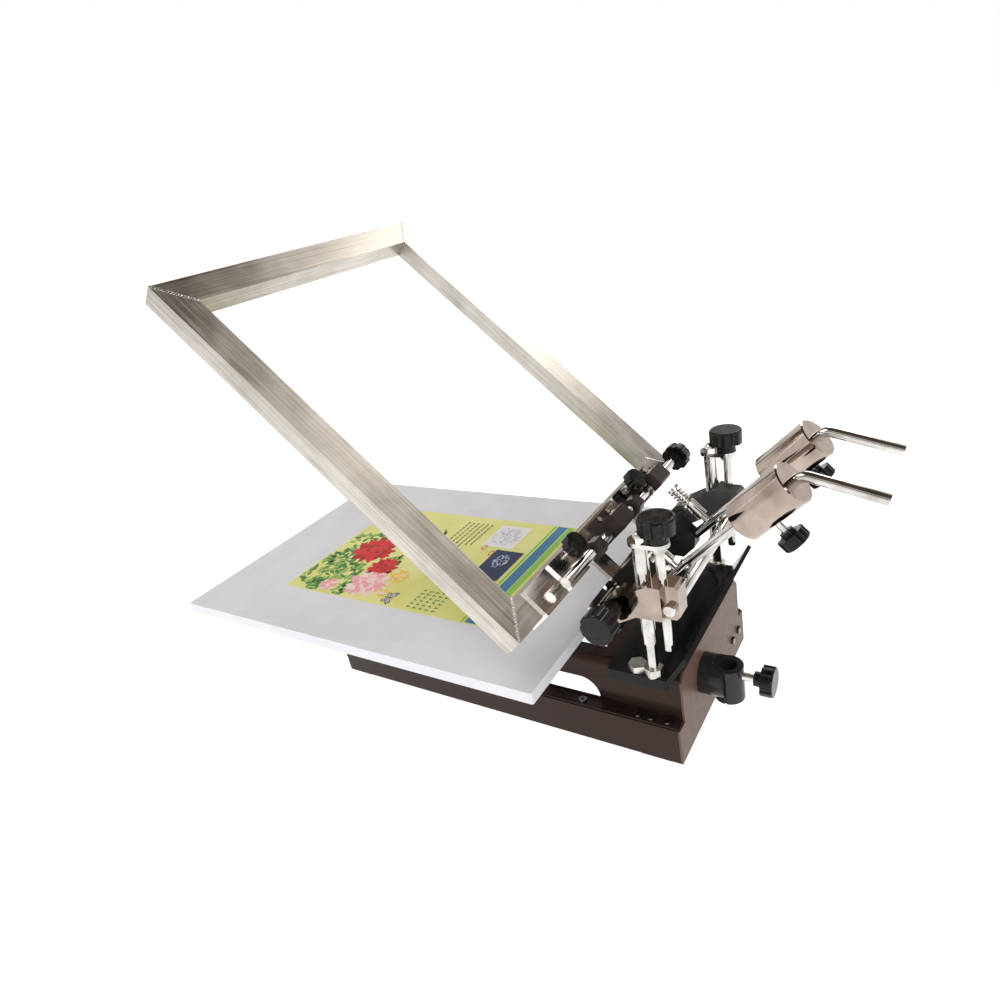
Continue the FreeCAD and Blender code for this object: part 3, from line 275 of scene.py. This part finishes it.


# bare and plated metals: grain stretches the streaks along the piece, turn is its slope in degrees; the
# darker, brown-tinted chrome is painted brown reflection
metals = {
    "polishedChrome": {
        "dark": (0.36, 0.34, 0.32), "light": (0.78, 0.77, 0.75), "rough": (0.03, 0.11),
        "grain": (1, 1, 1), "turn": 0.0, "scale": 60.0, "lines": 0.02},
    # chrome darkened and tinted brown: painted reflection of the brown room
    "chromeWithPaintedBrownReflection": {
        "dark": (0.27, 0.21, 0.175), "light": (0.50, 0.42, 0.36), "rough": (0.03, 0.12),
        "grain": (1, 1, 1), "turn": 0.0, "scale": 40.0, "lines": 0.02},
    "channelSteel": {
        "dark": (0.60, 0.58, 0.54), "light": (0.84, 0.82, 0.79), "rough": (0.10, 0.24),
        "grain": (0.03, 1, 1), "turn": 0.0, "scale": 900.0, "lines": 0.05},
    "darkScrew": {
        "dark": (0.10, 0.095, 0.09), "light": (0.26, 0.25, 0.24), "rough": (0.16, 0.32),
        "grain": (1, 1, 1), "turn": 0.0, "scale": 220.0, "lines": 0.08},
    "zincSteel": {
        "dark": (0.48, 0.46, 0.42), "light": (0.78, 0.77, 0.73), "rough": (0.22, 0.42),
        "grain": (1, 1, 1), "turn": 0.0, "scale": 220.0, "lines": 0.08},
    "crossTube": {
        "dark": (0.34, 0.32, 0.28), "light": (0.70, 0.67, 0.62), "rough": (0.26, 0.48),
        "grain": (0.02, 1, 1), "turn": 0.0, "scale": 520.0, "lines": 0.25},
    "sideTube": {
        "dark": (0.34, 0.32, 0.28), "light": (0.70, 0.67, 0.62), "rough": (0.26, 0.48),
        "grain": (1, 0.02, 1), "turn": 44.0, "scale": 520.0, "lines": 0.25},
    "weldMetal": {
        "dark": (0.70, 0.69, 0.67), "light": (0.95, 0.94, 0.92), "rough": (0.18, 0.40),
        "grain": (1, 1, 1), "turn": 0.0, "scale": 500.0, "lines": 0.4},
}
metalGrain = {"detail": 5.0, "patch": 22.0, "patchShare": 0.45, "stops": (0.33, 0.64), "deep": 0.0003}


def metal(name):
    look = metals[name]
    material, tree, shader = newMaterial(name)
    vector = coordinates(tree, look["grain"], math.radians(look["turn"]))
    streak = noise(tree, vector, look["scale"], metalGrain["detail"])
    patch = noise(tree, coordinates(tree), metalGrain["patch"])
    both = tree.nodes.new("ShaderNodeMix")
    both.inputs["Factor"].default_value = metalGrain["patchShare"]
    tree.links.new(streak, both.inputs["A"])
    tree.links.new(patch, both.inputs["B"])
    mixed = both.outputs["Result"]
    colour = ramp(tree, mixed, list(zip(metalGrain["stops"], (look["dark"], look["light"]))))
    tree.links.new(colour, shader.inputs["Base Color"])
    shader.inputs["Metallic"].default_value = 1.0
    tree.links.new(remap(tree, mixed, *look["rough"]), shader.inputs["Roughness"])
    bump(tree, shader, streak, look["lines"], metalGrain["deep"])
    return material


plastics = {
    "knobPlastic": {
        "dark": (0.004, 0.004, 0.004), "light": (0.012, 0.0115, 0.011), "rough": (0.14, 0.28),
        "shine": 0.26, "scale": 160.0, "grain": 0.05},
    "padRubber": {
        "dark": (0.010, 0.010, 0.010), "light": (0.030, 0.029, 0.028), "rough": (0.65, 0.85),
        "shine": 0.3, "scale": 400.0, "grain": 0.3},
    "boardLaminate": {
        "dark": (0.73, 0.74, 0.79), "light": (0.78, 0.79, 0.84), "rough": (0.30, 0.45),
        "shine": 0.4, "scale": 30.0, "grain": 0.03},
    "sheetPaper": {
        "dark": (0.74, 0.74, 0.22), "light": (0.84, 0.84, 0.36), "rough": (0.38, 0.55),
        "shine": 0.4, "scale": 14.0, "grain": 0.04},
}
plasticGrain = {"stops": (0.35, 0.65), "finer": 6, "deep": 0.0003}


def plastic(name):
    look = plastics[name]
    material, tree, shader = newMaterial(name)
    vector = coordinates(tree)
    cloud = noise(tree, vector, look["scale"])
    colour = ramp(tree, cloud, list(zip(plasticGrain["stops"], (look["dark"], look["light"]))))
    tree.links.new(colour, shader.inputs["Base Color"])
    tree.links.new(remap(tree, cloud, *look["rough"]), shader.inputs["Roughness"])
    shader.inputs["Specular IOR Level"].default_value = look["shine"]
    grain = noise(tree, vector, look["scale"] * plasticGrain["finer"])
    bump(tree, shader, grain, look["grain"], plasticGrain["deep"])
    return material


shelf = {}
for name in finishes:
    shelf[name] = enamel(name)
for name in metals:
    shelf[name] = metal(name)
for name in plastics:
    shelf[name] = plastic(name)

# which finish each CAD piece wears, and how far its edges are eased in millimetres
wardrobe = {
    "basePaint": {"ease": 0.5, "wornBy": ["base_pan", "base_housing"]},
    # the rear panel's lighter brown is painted reflection
    "panelPaintWithPaintedReflection": {"ease": 0.5, "wornBy": ["rear_panel"]},
    "bracketEnamel": {"ease": 0.5, "wornBy": ["head_bracket", "hubs", "hub_spacers", "platen_rails"]},
    "castingEnamel": {"ease": 0.4, "wornBy": ["castings", "lugs"]},
    "barrelEnamel": {"ease": 0.2, "wornBy": ["clamp_boss", "clamp_barrel"]},
    "blockEnamel": {"ease": 0.6, "wornBy": ["block_far"]},
    # weights and near block: chrome with a painted brown reflection
    "chromeWithPaintedBrownReflection": {"ease": 0.5, "wornBy": ["block_near", "weight_near", "weight_far"]},
    "polishedChrome": {"ease": 0.4, "wornBy": [
        "posts", "post_caps", "tie_bar", "tie_bolts", "hinge_shaft", "arms", "lateral_screw",
        "height_screw_near", "height_screw_far", "clamp_stud", "weight_stud_near", "weight_stud_far",
        "clamp_screw_near", "clamp_screw_far", "spring_pins", "springs", "screw_collars", "acorn_nuts",
        "swing_plate", "straps"]},
    "channelSteel": {"ease": 0.4, "wornBy": ["screen_channel", "bed_plate"]},
    "darkScrew": {"ease": 0.3, "wornBy": ["pan_screws"]},
    "zincSteel": {"ease": 0.3, "wornBy": [
        "rail_bolts", "bracket_bolts", "lock_nuts", "hub_bolts", "casting_bolts"]},
    "knobPlastic": {"ease": 0.7, "wornBy": [
        "clamp_knob", "height_knob_near", "height_knob_far", "hinge_knob", "weight_knob_near",
        "weight_knob_far", "lateral_knob", "holder_knob_near", "holder_knob_far"]},
    "crossTube": {"ease": 0.8, "wornBy": ["rail_front", "rail_rear"]},
    "sideTube": {"ease": 0.8, "wornBy": ["rail_near", "rail_far"]},
    "weldMetal": {"ease": 0.1, "wornBy": ["weld_beads"]},
    "padRubber": {"ease": 0.3, "wornBy": ["foot_pads"]},
    "boardLaminate": {"ease": 0.8, "wornBy": ["platen"]},
    "sheetPaper": {"ease": 0.0, "wornBy": ["print_sheet"]},
}
easing = {"sharpFrom": 32, "easedFrom": 40, "segments": 2}  # angles in degrees


def dress():
    for finish, outfit in wardrobe.items():
        for name in outfit["wornBy"]:
            piece = nodes[name]
            mesh = piece.data
            mesh.materials.clear()
            mesh.materials.append(shelf[finish])
            mesh.shade_smooth()
            mesh.set_sharp_from_angle(angle=math.radians(easing["sharpFrom"]))
            if outfit["ease"]:
                soft = piece.modifiers.new("easedEdges", "BEVEL")
                soft.limit_method = "ANGLE"
                soft.angle_limit = math.radians(easing["easedFrom"])
                soft.width = outfit["ease"] * mm
                soft.segments = easing["segments"]
                soft.harden_normals = True


dress()
print("nodes dressed")


# pieces of ink and of weld, built point by point
def startPiece(name, finishNames):
    mesh = bpy.data.meshes.new(name)
    made = bpy.data.objects.new(name, mesh)
    bpy.context.collection.objects.link(made)
    for finish in finishNames:
        mesh.materials.append(shelf[finish])
    return made, bmesh.new()


def finishPiece(made, work, body):
    bmesh.ops.recalc_face_normals(work, faces=work.faces)
    work.to_mesh(made.data)
    work.free()
    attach(made, body)


inks = {
    "redInk": {"dark": (0.55, 0.008, 0.010), "light": (0.85, 0.040, 0.030)},
    "deepRedInk": {"dark": (0.34, 0.004, 0.006), "light": (0.55, 0.012, 0.014)},
    "pinkInk": {"dark": (0.85, 0.30, 0.36), "light": (0.95, 0.52, 0.55)},
    "palePinkInk": {"dark": (0.93, 0.62, 0.60), "light": (0.96, 0.78, 0.74)},
    "leafInk": {"dark": (0.035, 0.16, 0.030), "light": (0.10, 0.33, 0.07)},
    "paleLeafInk": {"dark": (0.22, 0.42, 0.08), "light": (0.42, 0.60, 0.16)},
    "amberInk": {"dark": (0.86, 0.52, 0.05), "light": (0.93, 0.72, 0.14)},
    "textInk": {"dark": (0.035, 0.06, 0.02), "light": (0.09, 0.13, 0.05)},
    "nightInk": {"dark": (0.008, 0.012, 0.045), "light": (0.03, 0.05, 0.14)},
    "blueInk": {"dark": (0.03, 0.17, 0.33), "light": (0.06, 0.25, 0.45)},
    "greenInk": {"dark": (0.20, 0.55, 0.06), "light": (0.36, 0.70, 0.12)},
    "whiteInk": {"dark": (0.78, 0.78, 0.80), "light": (0.90, 0.90, 0.92)},
    "lilacInk": {"dark": (0.36, 0.36, 0.46), "light": (0.60, 0.60, 0.68)},
    "skyInk": {"dark": (0.20, 0.42, 0.72), "light": (0.45, 0.65, 0.85)},
}
inkGrain = {
    "dots": 900.0, "detail": 2.0, "stops": (0.38, 0.62), "rough": (0.32, 0.5), "strength": 0.05,
    "deep": 0.0001,
}


def ink(name):
    look = inks[name]
    material, tree, shader = newMaterial(name)
    dots = noise(tree, coordinates(tree), inkGrain["dots"], inkGrain["detail"])
    colour = ramp(tree, dots, list(zip(inkGrain["stops"], (look["dark"], look["light"]))))
    tree.links.new(colour, shader.inputs["Base Color"])
    tree.links.new(remap(tree, dots, *inkGrain["rough"]), shader.inputs["Roughness"])
    bump(tree, shader, dots, inkGrain["strength"], inkGrain["deep"])
    return material


for name in inks:
    shelf[name] = ink(name)

# the printing, in millimetres across and along from the middle of the sheet; lifts count ink layers
sheet = {"halfAcross": 103.5, "halfAlong": 147, "gap": 0.02, "layer": 0.012, "seed": 7}
sheetLow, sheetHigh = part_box("print_sheet")
sheetMiddle = (Vector(sheetLow) + Vector(sheetHigh)) / 2
sheetTop = sheetHigh[2]
petalShape = {"steps": 9, "neck": 0.62, "swell": 0.38, "frill": 0.10, "frills": 5, "frillShift": 3}


def onSheet(u, v, lift):
    u = max(-sheet["halfAcross"], min(sheet["halfAcross"], u))
    v = max(-sheet["halfAlong"], min(sheet["halfAlong"], v))
    height = sheetTop + (sheet["gap"] + sheet["layer"] * lift) * mm
    return (sheetMiddle.x + u * mm, sheetMiddle.y + v * mm, height)


def inkPatch(work, points, lift, index=0):
    made = work.faces.new([work.verts.new(onSheet(u, v, lift)) for u, v in points])
    made.material_index = index


def petal(work, centre, angle, reach, width, lift, index):
    points = []
    for i in range(petalShape["steps"] + 1):
        share = i / petalShape["steps"]
        bend = math.sin(share * math.pi)
        waves = share * math.pi * petalShape["frills"] + angle * petalShape["frillShift"]
        frill = 1 + petalShape["frill"] * math.sin(waves)
        swing = angle + (share - 0.5) * width
        far = reach * (petalShape["neck"] + petalShape["swell"] * bend) * frill
        points.append((centre[0] + far * math.cos(swing), centre[1] + far * math.sin(swing)))
    points.append(centre)
    inkPatch(work, points, lift, index)


def stroke(work, u, v, long, wide, lift, index=0):
    left, right = u - long / 2, u + long / 2
    near, far = v - wide / 2, v + wide / 2
    inkPatch(work, [(left, near), (right, near), (right, far), (left, far)], lift, index)


# every flower is rings of frilled petals, each ring smaller, turned and a shade apart
flowers = {
    "shrink": 0.88, "petals": 11, "jitter": 0.12, "reach": (0.88, 1.0), "width": 2.4, "lift": 14,
    "ringLift": 3, "petalLifts": 3, "shades": (0, 1, 1, 2),
    "peonies": [
        {"at": (4, -90), "size": 33, "inks": ("deepRedInk", "redInk", "redInk"), "rings": 6},
        {"at": (36, -48), "size": 22, "inks": ("deepRedInk", "redInk", "redInk"), "rings": 5},
        {"at": (72, -42), "size": 31, "inks": ("pinkInk", "palePinkInk", "pinkInk"), "rings": 7},
        {"at": (88, -92), "size": 14, "inks": ("palePinkInk", "pinkInk", "palePinkInk"), "rings": 4},
        {"at": (50, -12), "size": 15, "inks": ("amberInk", "amberInk", "palePinkInk"), "rings": 3},
        {"at": (84, -8), "size": 8, "inks": ("amberInk", "palePinkInk", "amberInk"), "rings": 3},
    ],
}


def printFlower(number, flower, chance):
    made, work = startPiece(f"printedFlower{number + 1}", flower["inks"])
    rings = flower["rings"]
    for ring in range(rings):
        reach = flower["size"] * (1 - ring / rings * flowers["shrink"])
        count = flowers["petals"] - ring
        width = flowers["width"] * math.pi / count
        for i in range(count):
            jitter = chance.uniform(-flowers["jitter"], flowers["jitter"])
            angle = (i + 0.5 * (ring % 2)) / count * fullTurn + jitter
            lift = flowers["lift"] + ring * flowers["ringLift"] + i % flowers["petalLifts"]
            far = reach * chance.uniform(*flowers["reach"])
            petal(work, flower["at"], angle, far, width, lift, chance.choice(flowers["shades"]))
    finishPiece(made, work, "base")


# leaves lie scattered in beds: middle, spread and number
leaves = {
    "long": (7, 13), "wide": 0.21, "taper": 0.5, "points": 10, "spread": 0.8, "flatten": 0.6,
    "lifts": (4, 5, 6, 7, 8, 9, 10, 11), "darkShare": 0.6,
    "beds": [
        {"at": (48, -96), "spread": 42, "count": 70}, {"at": (92, -112), "spread": 20, "count": 34},
        {"at": (60, -128), "spread": 46, "count": 60}, {"at": (8, -128), "spread": 52, "count": 52},
        {"at": (92, -66), "spread": 20, "count": 26}, {"at": (-30, -104), "spread": 26, "count": 26},
        {"at": (18, -44), "spread": 22, "count": 20}, {"at": (58, -78), "spread": 20, "count": 20},
    ],
}


def leafOutline(centre, length, lean):
    points = []
    for i in range(leaves["points"]):
        turn = i / leaves["points"] * fullTurn
        along = length / 2 * math.cos(turn)
        across = length * leaves["wide"] * math.sin(turn) * (1 - leaves["taper"] * math.cos(turn))
        points.append((centre[0] + along * math.cos(lean) - across * math.sin(lean),
                       centre[1] + along * math.sin(lean) + across * math.cos(lean)))
    return points


def printLeaves(chance):
    made, work = startPiece("printedLeaves", ["leafInk", "paleLeafInk"])
    for bed in leaves["beds"]:
        u, v = bed["at"]
        for _ in range(bed["count"]):
            angle = chance.uniform(0, fullTurn)
            out = bed["spread"] * math.sqrt(chance.random()) * leaves["spread"]
            centre = (u + out * math.cos(angle), v + out * math.sin(angle) * leaves["flatten"])
            length = chance.uniform(*leaves["long"])
            points = leafOutline(centre, length, chance.uniform(0, fullTurn))
            lift = chance.choice(leaves["lifts"])
            inkPatch(work, points, lift, 0 if chance.random() < leaves["darkShare"] else 1)
    finishPiece(made, work, "base")


# straight stripes at the rear edge
stripes = {
    "lift": 3,
    "rows": [
        {"name": "greenStripe", "ink": "greenInk", "v": 117, "wide": 3.2},
        {"name": "blueStripe", "ink": "blueInk", "v": 127, "wide": 13},
        {"name": "edgeStripe", "ink": "greenInk", "v": 138.5, "wide": 8},
    ],
}


def printStripes():
    for row in stripes["rows"]:
        made, work = startPiece(row["name"], [row["ink"]])
        stroke(work, 0, row["v"], 2 * sheet["halfAcross"], row["wide"], stripes["lift"])
        finishPiece(made, work, "base")


# plain strokes that only stand for writing
poem = {
    "at": (-56, 14), "rows": 6, "pitch": 7.2, "half": 34, "shorter": 4, "long": (3.0, 6.5), "wide": 1.9,
    "space": 1.3, "lift": 8,
}
notes = {
    "at": (80, 58), "rows": 5, "columns": 6, "across": 6.4, "along": 8.5, "left": 14,
    "flat": {"wide": 3.4, "tall": 1.5, "down": 18, "lift": 8},
    "upright": {"wide": 1.3, "tall": 3.6, "down": 16, "lift": 9},
}


def printStrokes(chance):
    made, work = startPiece("printedStrokes", ["textInk", "leafInk"])
    u, v = poem["at"]
    for row in range(poem["rows"]):
        start = u - poem["half"]
        height = v + (row - (poem["rows"] - 1) / 2) * poem["pitch"]
        while start < u + poem["half"] - row * poem["shorter"]:
            long = chance.uniform(*poem["long"])
            stroke(work, start + long / 2, height, long, poem["wide"], poem["lift"])
            start += long + poem["space"]
    u, v = notes["at"]
    flat, upright = notes["flat"], notes["upright"]
    for row in range(notes["rows"]):
        for column in range(notes["columns"]):
            lean = chance.uniform(-1, 1)
            across = u - notes["left"] + column * notes["across"]
            low = v - flat["down"] + row * notes["along"]
            stroke(work, across + lean, low, flat["wide"], flat["tall"], flat["lift"], 1)
            low = v - upright["down"] + row * notes["along"] + lean
            stroke(work, across, low, upright["wide"], upright["tall"], upright["lift"], 1)
    finishPiece(made, work, "base")


brush = {
    "at": (-54, -22), "lift": 8,
    "sweep": [(-12, -5), (-4, -1.5), (5, 0), (14, 6), (6, 5), (-3, 4)],
}


def printBrushMark():
    made, work = startPiece("printedBrushMark", ["textInk"])
    u, v = brush["at"]
    inkPatch(work, [(u + across, v + along) for across, along in brush["sweep"]], brush["lift"])
    finishPiece(made, work, "base")


# boxes filled with short scattered strokes: a pale line drawing and a dark picture
sketch = {
    "at": (-66, 68), "box": (52, 44), "boxLift": 4, "count": 150, "reach": 21, "flatten": 0.9,
    "long": (0.7, 5), "wide": (0.5, 1.3), "lift": 6, "lifts": 5, "shades": (1, 1, 1, 3),
}
seals = {"spots": [(30, -14), (40, 2)], "count": 12, "size": (5, 2.6), "stroke": (1.9, 1.2), "lift": 12}
picture = {
    "at": (-4, 92), "box": (62, 38), "boxLift": 12, "count": 90, "reach": 12, "left": 8, "stretch": 1.2,
    "flatten": 0.8, "long": (1, 3.4), "wide": (0.6, 1.6), "lift": 13, "lifts": 4, "shades": (1, 1, 2, 3),
}


def printSketch(chance):
    made, work = startPiece("printedSketch", ["whiteInk", "lilacInk", "redInk", "skyInk"])
    u, v = sketch["at"]
    stroke(work, u, v, *sketch["box"], sketch["boxLift"])
    for i in range(sketch["count"]):
        angle = chance.uniform(0, fullTurn)
        out = sketch["reach"] * math.sqrt(chance.random())
        across, along = u + out * math.cos(angle), v + out * math.sin(angle) * sketch["flatten"]
        long, wide = chance.uniform(*sketch["long"]), chance.uniform(*sketch["wide"])
        lift = sketch["lift"] + i % sketch["lifts"]
        stroke(work, across, along, long, wide, lift, chance.choice(sketch["shades"]))
    for across, along in seals["spots"]:
        for i in range(seals["count"]):
            angle = i / seals["count"] * fullTurn
            stroke(work, u + across + seals["size"][0] * math.cos(angle),
                   v + along + seals["size"][1] * math.sin(angle), *seals["stroke"], seals["lift"], 2)
    finishPiece(made, work, "base")


def printPicture(chance):
    made, work = startPiece("printedPicture", ["nightInk", "skyInk", "whiteInk", "lilacInk"])
    u, v = picture["at"]
    stroke(work, u, v, *picture["box"], picture["boxLift"])
    for i in range(picture["count"]):
        angle = chance.uniform(0, fullTurn)
        out = picture["reach"] * math.sqrt(chance.random())
        across = u - picture["left"] + out * picture["stretch"] * math.cos(angle)
        along = v + out * picture["flatten"] * math.sin(angle)
        long, wide = chance.uniform(*picture["long"]), chance.uniform(*picture["wide"])
        lift = picture["lift"] + i % picture["lifts"]
        stroke(work, across, along, long, wide, lift, chance.choice(picture["shades"]))
    finishPiece(made, work, "base")


burst = {
    "at": (44, 92), "petals": 9, "width": 0.6, "lift": 14, "ringLift": 2,
    "rings": [{"shade": 1, "reach": 17}, {"shade": 2, "reach": 13}, {"shade": 0, "reach": 10},
              {"shade": 1, "reach": 5}],
}


def printBurst():
    made, work = startPiece("printedBurst", ["redInk", "whiteInk", "skyInk"])
    for number, ring in enumerate(burst["rings"]):
        lift = burst["lift"] + number * burst["ringLift"]
        for i in range(burst["petals"]):
            angle = (i + number / 2) / burst["petals"] * fullTurn
            petal(work, burst["at"], angle, ring["reach"], burst["width"], lift, ring["shade"])
    finishPiece(made, work, "base")


butterfly = {
    "at": (90, 6), "wings": [(0.5, 13), (-0.5, 10), (2.6, 13), (3.6, 10)], "edge": 0.9, "inner": 0.7,
    "innerShare": 0.85, "edgeLift": 14, "innerLift": 16, "trunk": (1.6, 11), "trunkLift": 18,
}


def printButterfly():
    made, work = startPiece("printedButterfly", ["lilacInk", "textInk"])
    spot = butterfly["at"]
    for angle, reach in butterfly["wings"]:
        petal(work, spot, angle, reach, butterfly["edge"], butterfly["edgeLift"], 1)
        inner = reach * butterfly["innerShare"]
        petal(work, spot, angle, inner, butterfly["inner"], butterfly["innerLift"], 0)
    stroke(work, *spot, *butterfly["trunk"], butterfly["trunkLift"], 1)
    finishPiece(made, work, "base")


def printArtwork():
    chance = random.Random(sheet["seed"])
    for number, flower in enumerate(flowers["peonies"]):
        printFlower(number, flower, chance)
    printLeaves(chance)
    printStripes()
    printStrokes(chance)
    printBrushMark()
    printSketch(chance)
    printPicture(chance)
    printBurst()
    printButterfly()


printArtwork()
print("sheet printed")

# weld runs: short overlapping scallops across each mitre, in millimetres and shares of the tube
weld = {
    "scallops": 15, "before": 0.7, "after": 0.4, "long": 2.1, "wide": 3.6, "wideChange": (0.8, 1.15),
    "tall": 0.45, "tallChange": (0.7, 1.0), "edgeShare": 0.9, "edgeLeast": 0.4, "rings": 3, "spokes": 10,
    "seed": 3,
}
hinge = next(joint for joint in frame["joints"] if joint["name"] == "screen_lift")
hingeAt = Vector(hinge["pos_m"])
tilt = math.radians(max(hinge["range_deg"]))
alongScreen = Vector((0, math.cos(tilt), -math.sin(tilt)))
offScreen = Vector((0, math.sin(tilt), math.cos(tilt)))


def screenPoint(x, along, off):
    return hingeAt + Vector((x, 0, 0)) + alongScreen * along + offScreen * off


def screenBox(name):
    spots = [nodes[name].matrix_world @ vertex.co - hingeAt for vertex in nodes[name].data.vertices]
    columns = [[spot.x for spot in spots], [spot.dot(alongScreen) for spot in spots],
               [spot.dot(offScreen) for spot in spots]]
    return [min(column) for column in columns], [max(column) for column in columns]


def scallop(work, centre, forward, side, up, long, wide, tall):
    rings, spokes = weld["rings"], weld["spokes"]
    rows = []
    for ring in range(rings):
        lean = ring / rings * math.pi / 2
        row = []
        for spoke in range(spokes):
            turn = spoke / spokes * fullTurn
            ahead = forward * (long * math.cos(lean) * math.cos(turn))
            aside = side * (wide * math.cos(lean) * math.sin(turn))
            row.append(work.verts.new(centre + ahead + aside + up * (tall * math.sin(lean))))
        rows.append(row)
    tip = work.verts.new(centre + up * tall)
    for lower, upper in zip(rows, rows[1:]):
        for spoke in range(spokes):
            after = (spoke + 1) % spokes
            work.faces.new((lower[spoke], lower[after], upper[after], upper[spoke]))
    for spoke in range(spokes):
        work.faces.new((rows[-1][spoke], rows[-1][(spoke + 1) % spokes], tip))
    work.faces.new(list(reversed(rows[0])))


def weldMitre(work, chance, corner, inward, along, up, tube):
    forward = (Vector((inward, 0, 0)) + alongScreen * along).normalized()
    side = (Vector((inward, 0, 0)) - alongScreen * along).normalized()
    edge, end, top = corner
    for i in range(weld["scallops"]):
        share = (i + weld["before"]) / (weld["scallops"] + weld["after"])
        centre = screenPoint(edge + inward * tube * share, end + along * tube * share, top)
        reach = weld["wide"] / 2 * chance.uniform(*weld["wideChange"]) * mm
        space = min(share, 1 - share) * tube * weld["edgeShare"] + weld["edgeLeast"] * mm
        tall = weld["tall"] * chance.uniform(*weld["tallChange"]) * mm
        scallop(work, centre, forward, side, offScreen * up, weld["long"] * mm, min(reach, space), tall)


def weldFrame():
    made, work = startPiece("weldScallops", ["weldMetal"])
    chance = random.Random(weld["seed"])
    low, high = screenBox("rail_near")
    farEdge = screenBox("rail_far")[0][0]
    tube = high[0] - low[0]
    for edge, inward in ((high[0], -1), (farEdge, 1)):
        for end, along in ((low[1], 1), (high[1], -1)):
            for top, up in ((high[2], 1), (low[2], -1)):
                weldMitre(work, chance, (edge, end, top), inward, along, up, tube)
    finishPiece(made, work, "screen")
    made.data.shade_smooth()
    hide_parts("weld_beads")


weldFrame()
print("mitres welded")

# painted shade: flat dark crosses laid on the pan head screws stand for the shade in their cross
# recesses, in millimetres
recessShadeMark = {"long": 4.4, "wide": 0.9, "lift": 0.03}


def islands(piece):
    work = bmesh.new()
    work.from_mesh(piece.data)
    seen = set()
    for first in work.verts:
        if first in seen:
            continue
        seen.add(first)
        group = [first]
        for vertex in group:  # the list grows while it is walked
            for link in vertex.link_edges:
                after = link.other_vert(vertex)
                if after not in seen:
                    seen.add(after)
                    group.append(after)
        columns = list(zip(*(vertex.co for vertex in group)))
        yield [min(column) for column in columns], [max(column) for column in columns]
    work.free()


def paintedRecessShades():
    # the crosses wear the dark pad rubber as painted shade
    made, work = startPiece("paintedRecessShades", ["padRubber"])
    for low, high in islands(nodes["pan_screws"]):
        middle = (Vector(low) + Vector(high)) / 2
        upright = high[2] - low[2] < high[0] - low[0]  # on the flanges; the rest look backwards
        axis, other = (2, 1) if upright else (1, 2)
        for longWay, wideWay in ((0, other), (other, 0)):
            corners = []
            for alongSign, acrossSign in ((-1, -1), (1, -1), (1, 1), (-1, 1)):
                spot = middle.copy()
                spot[axis] = high[axis] + recessShadeMark["lift"] * mm
                spot[longWay] += alongSign * recessShadeMark["long"] / 2 * mm
                spot[wideWay] += acrossSign * recessShadeMark["wide"] / 2 * mm
                corners.append(work.verts.new(spot))
            work.faces.new(corners)
    finishPiece(made, work, "base")


paintedRecessShades()
print("screws marked")
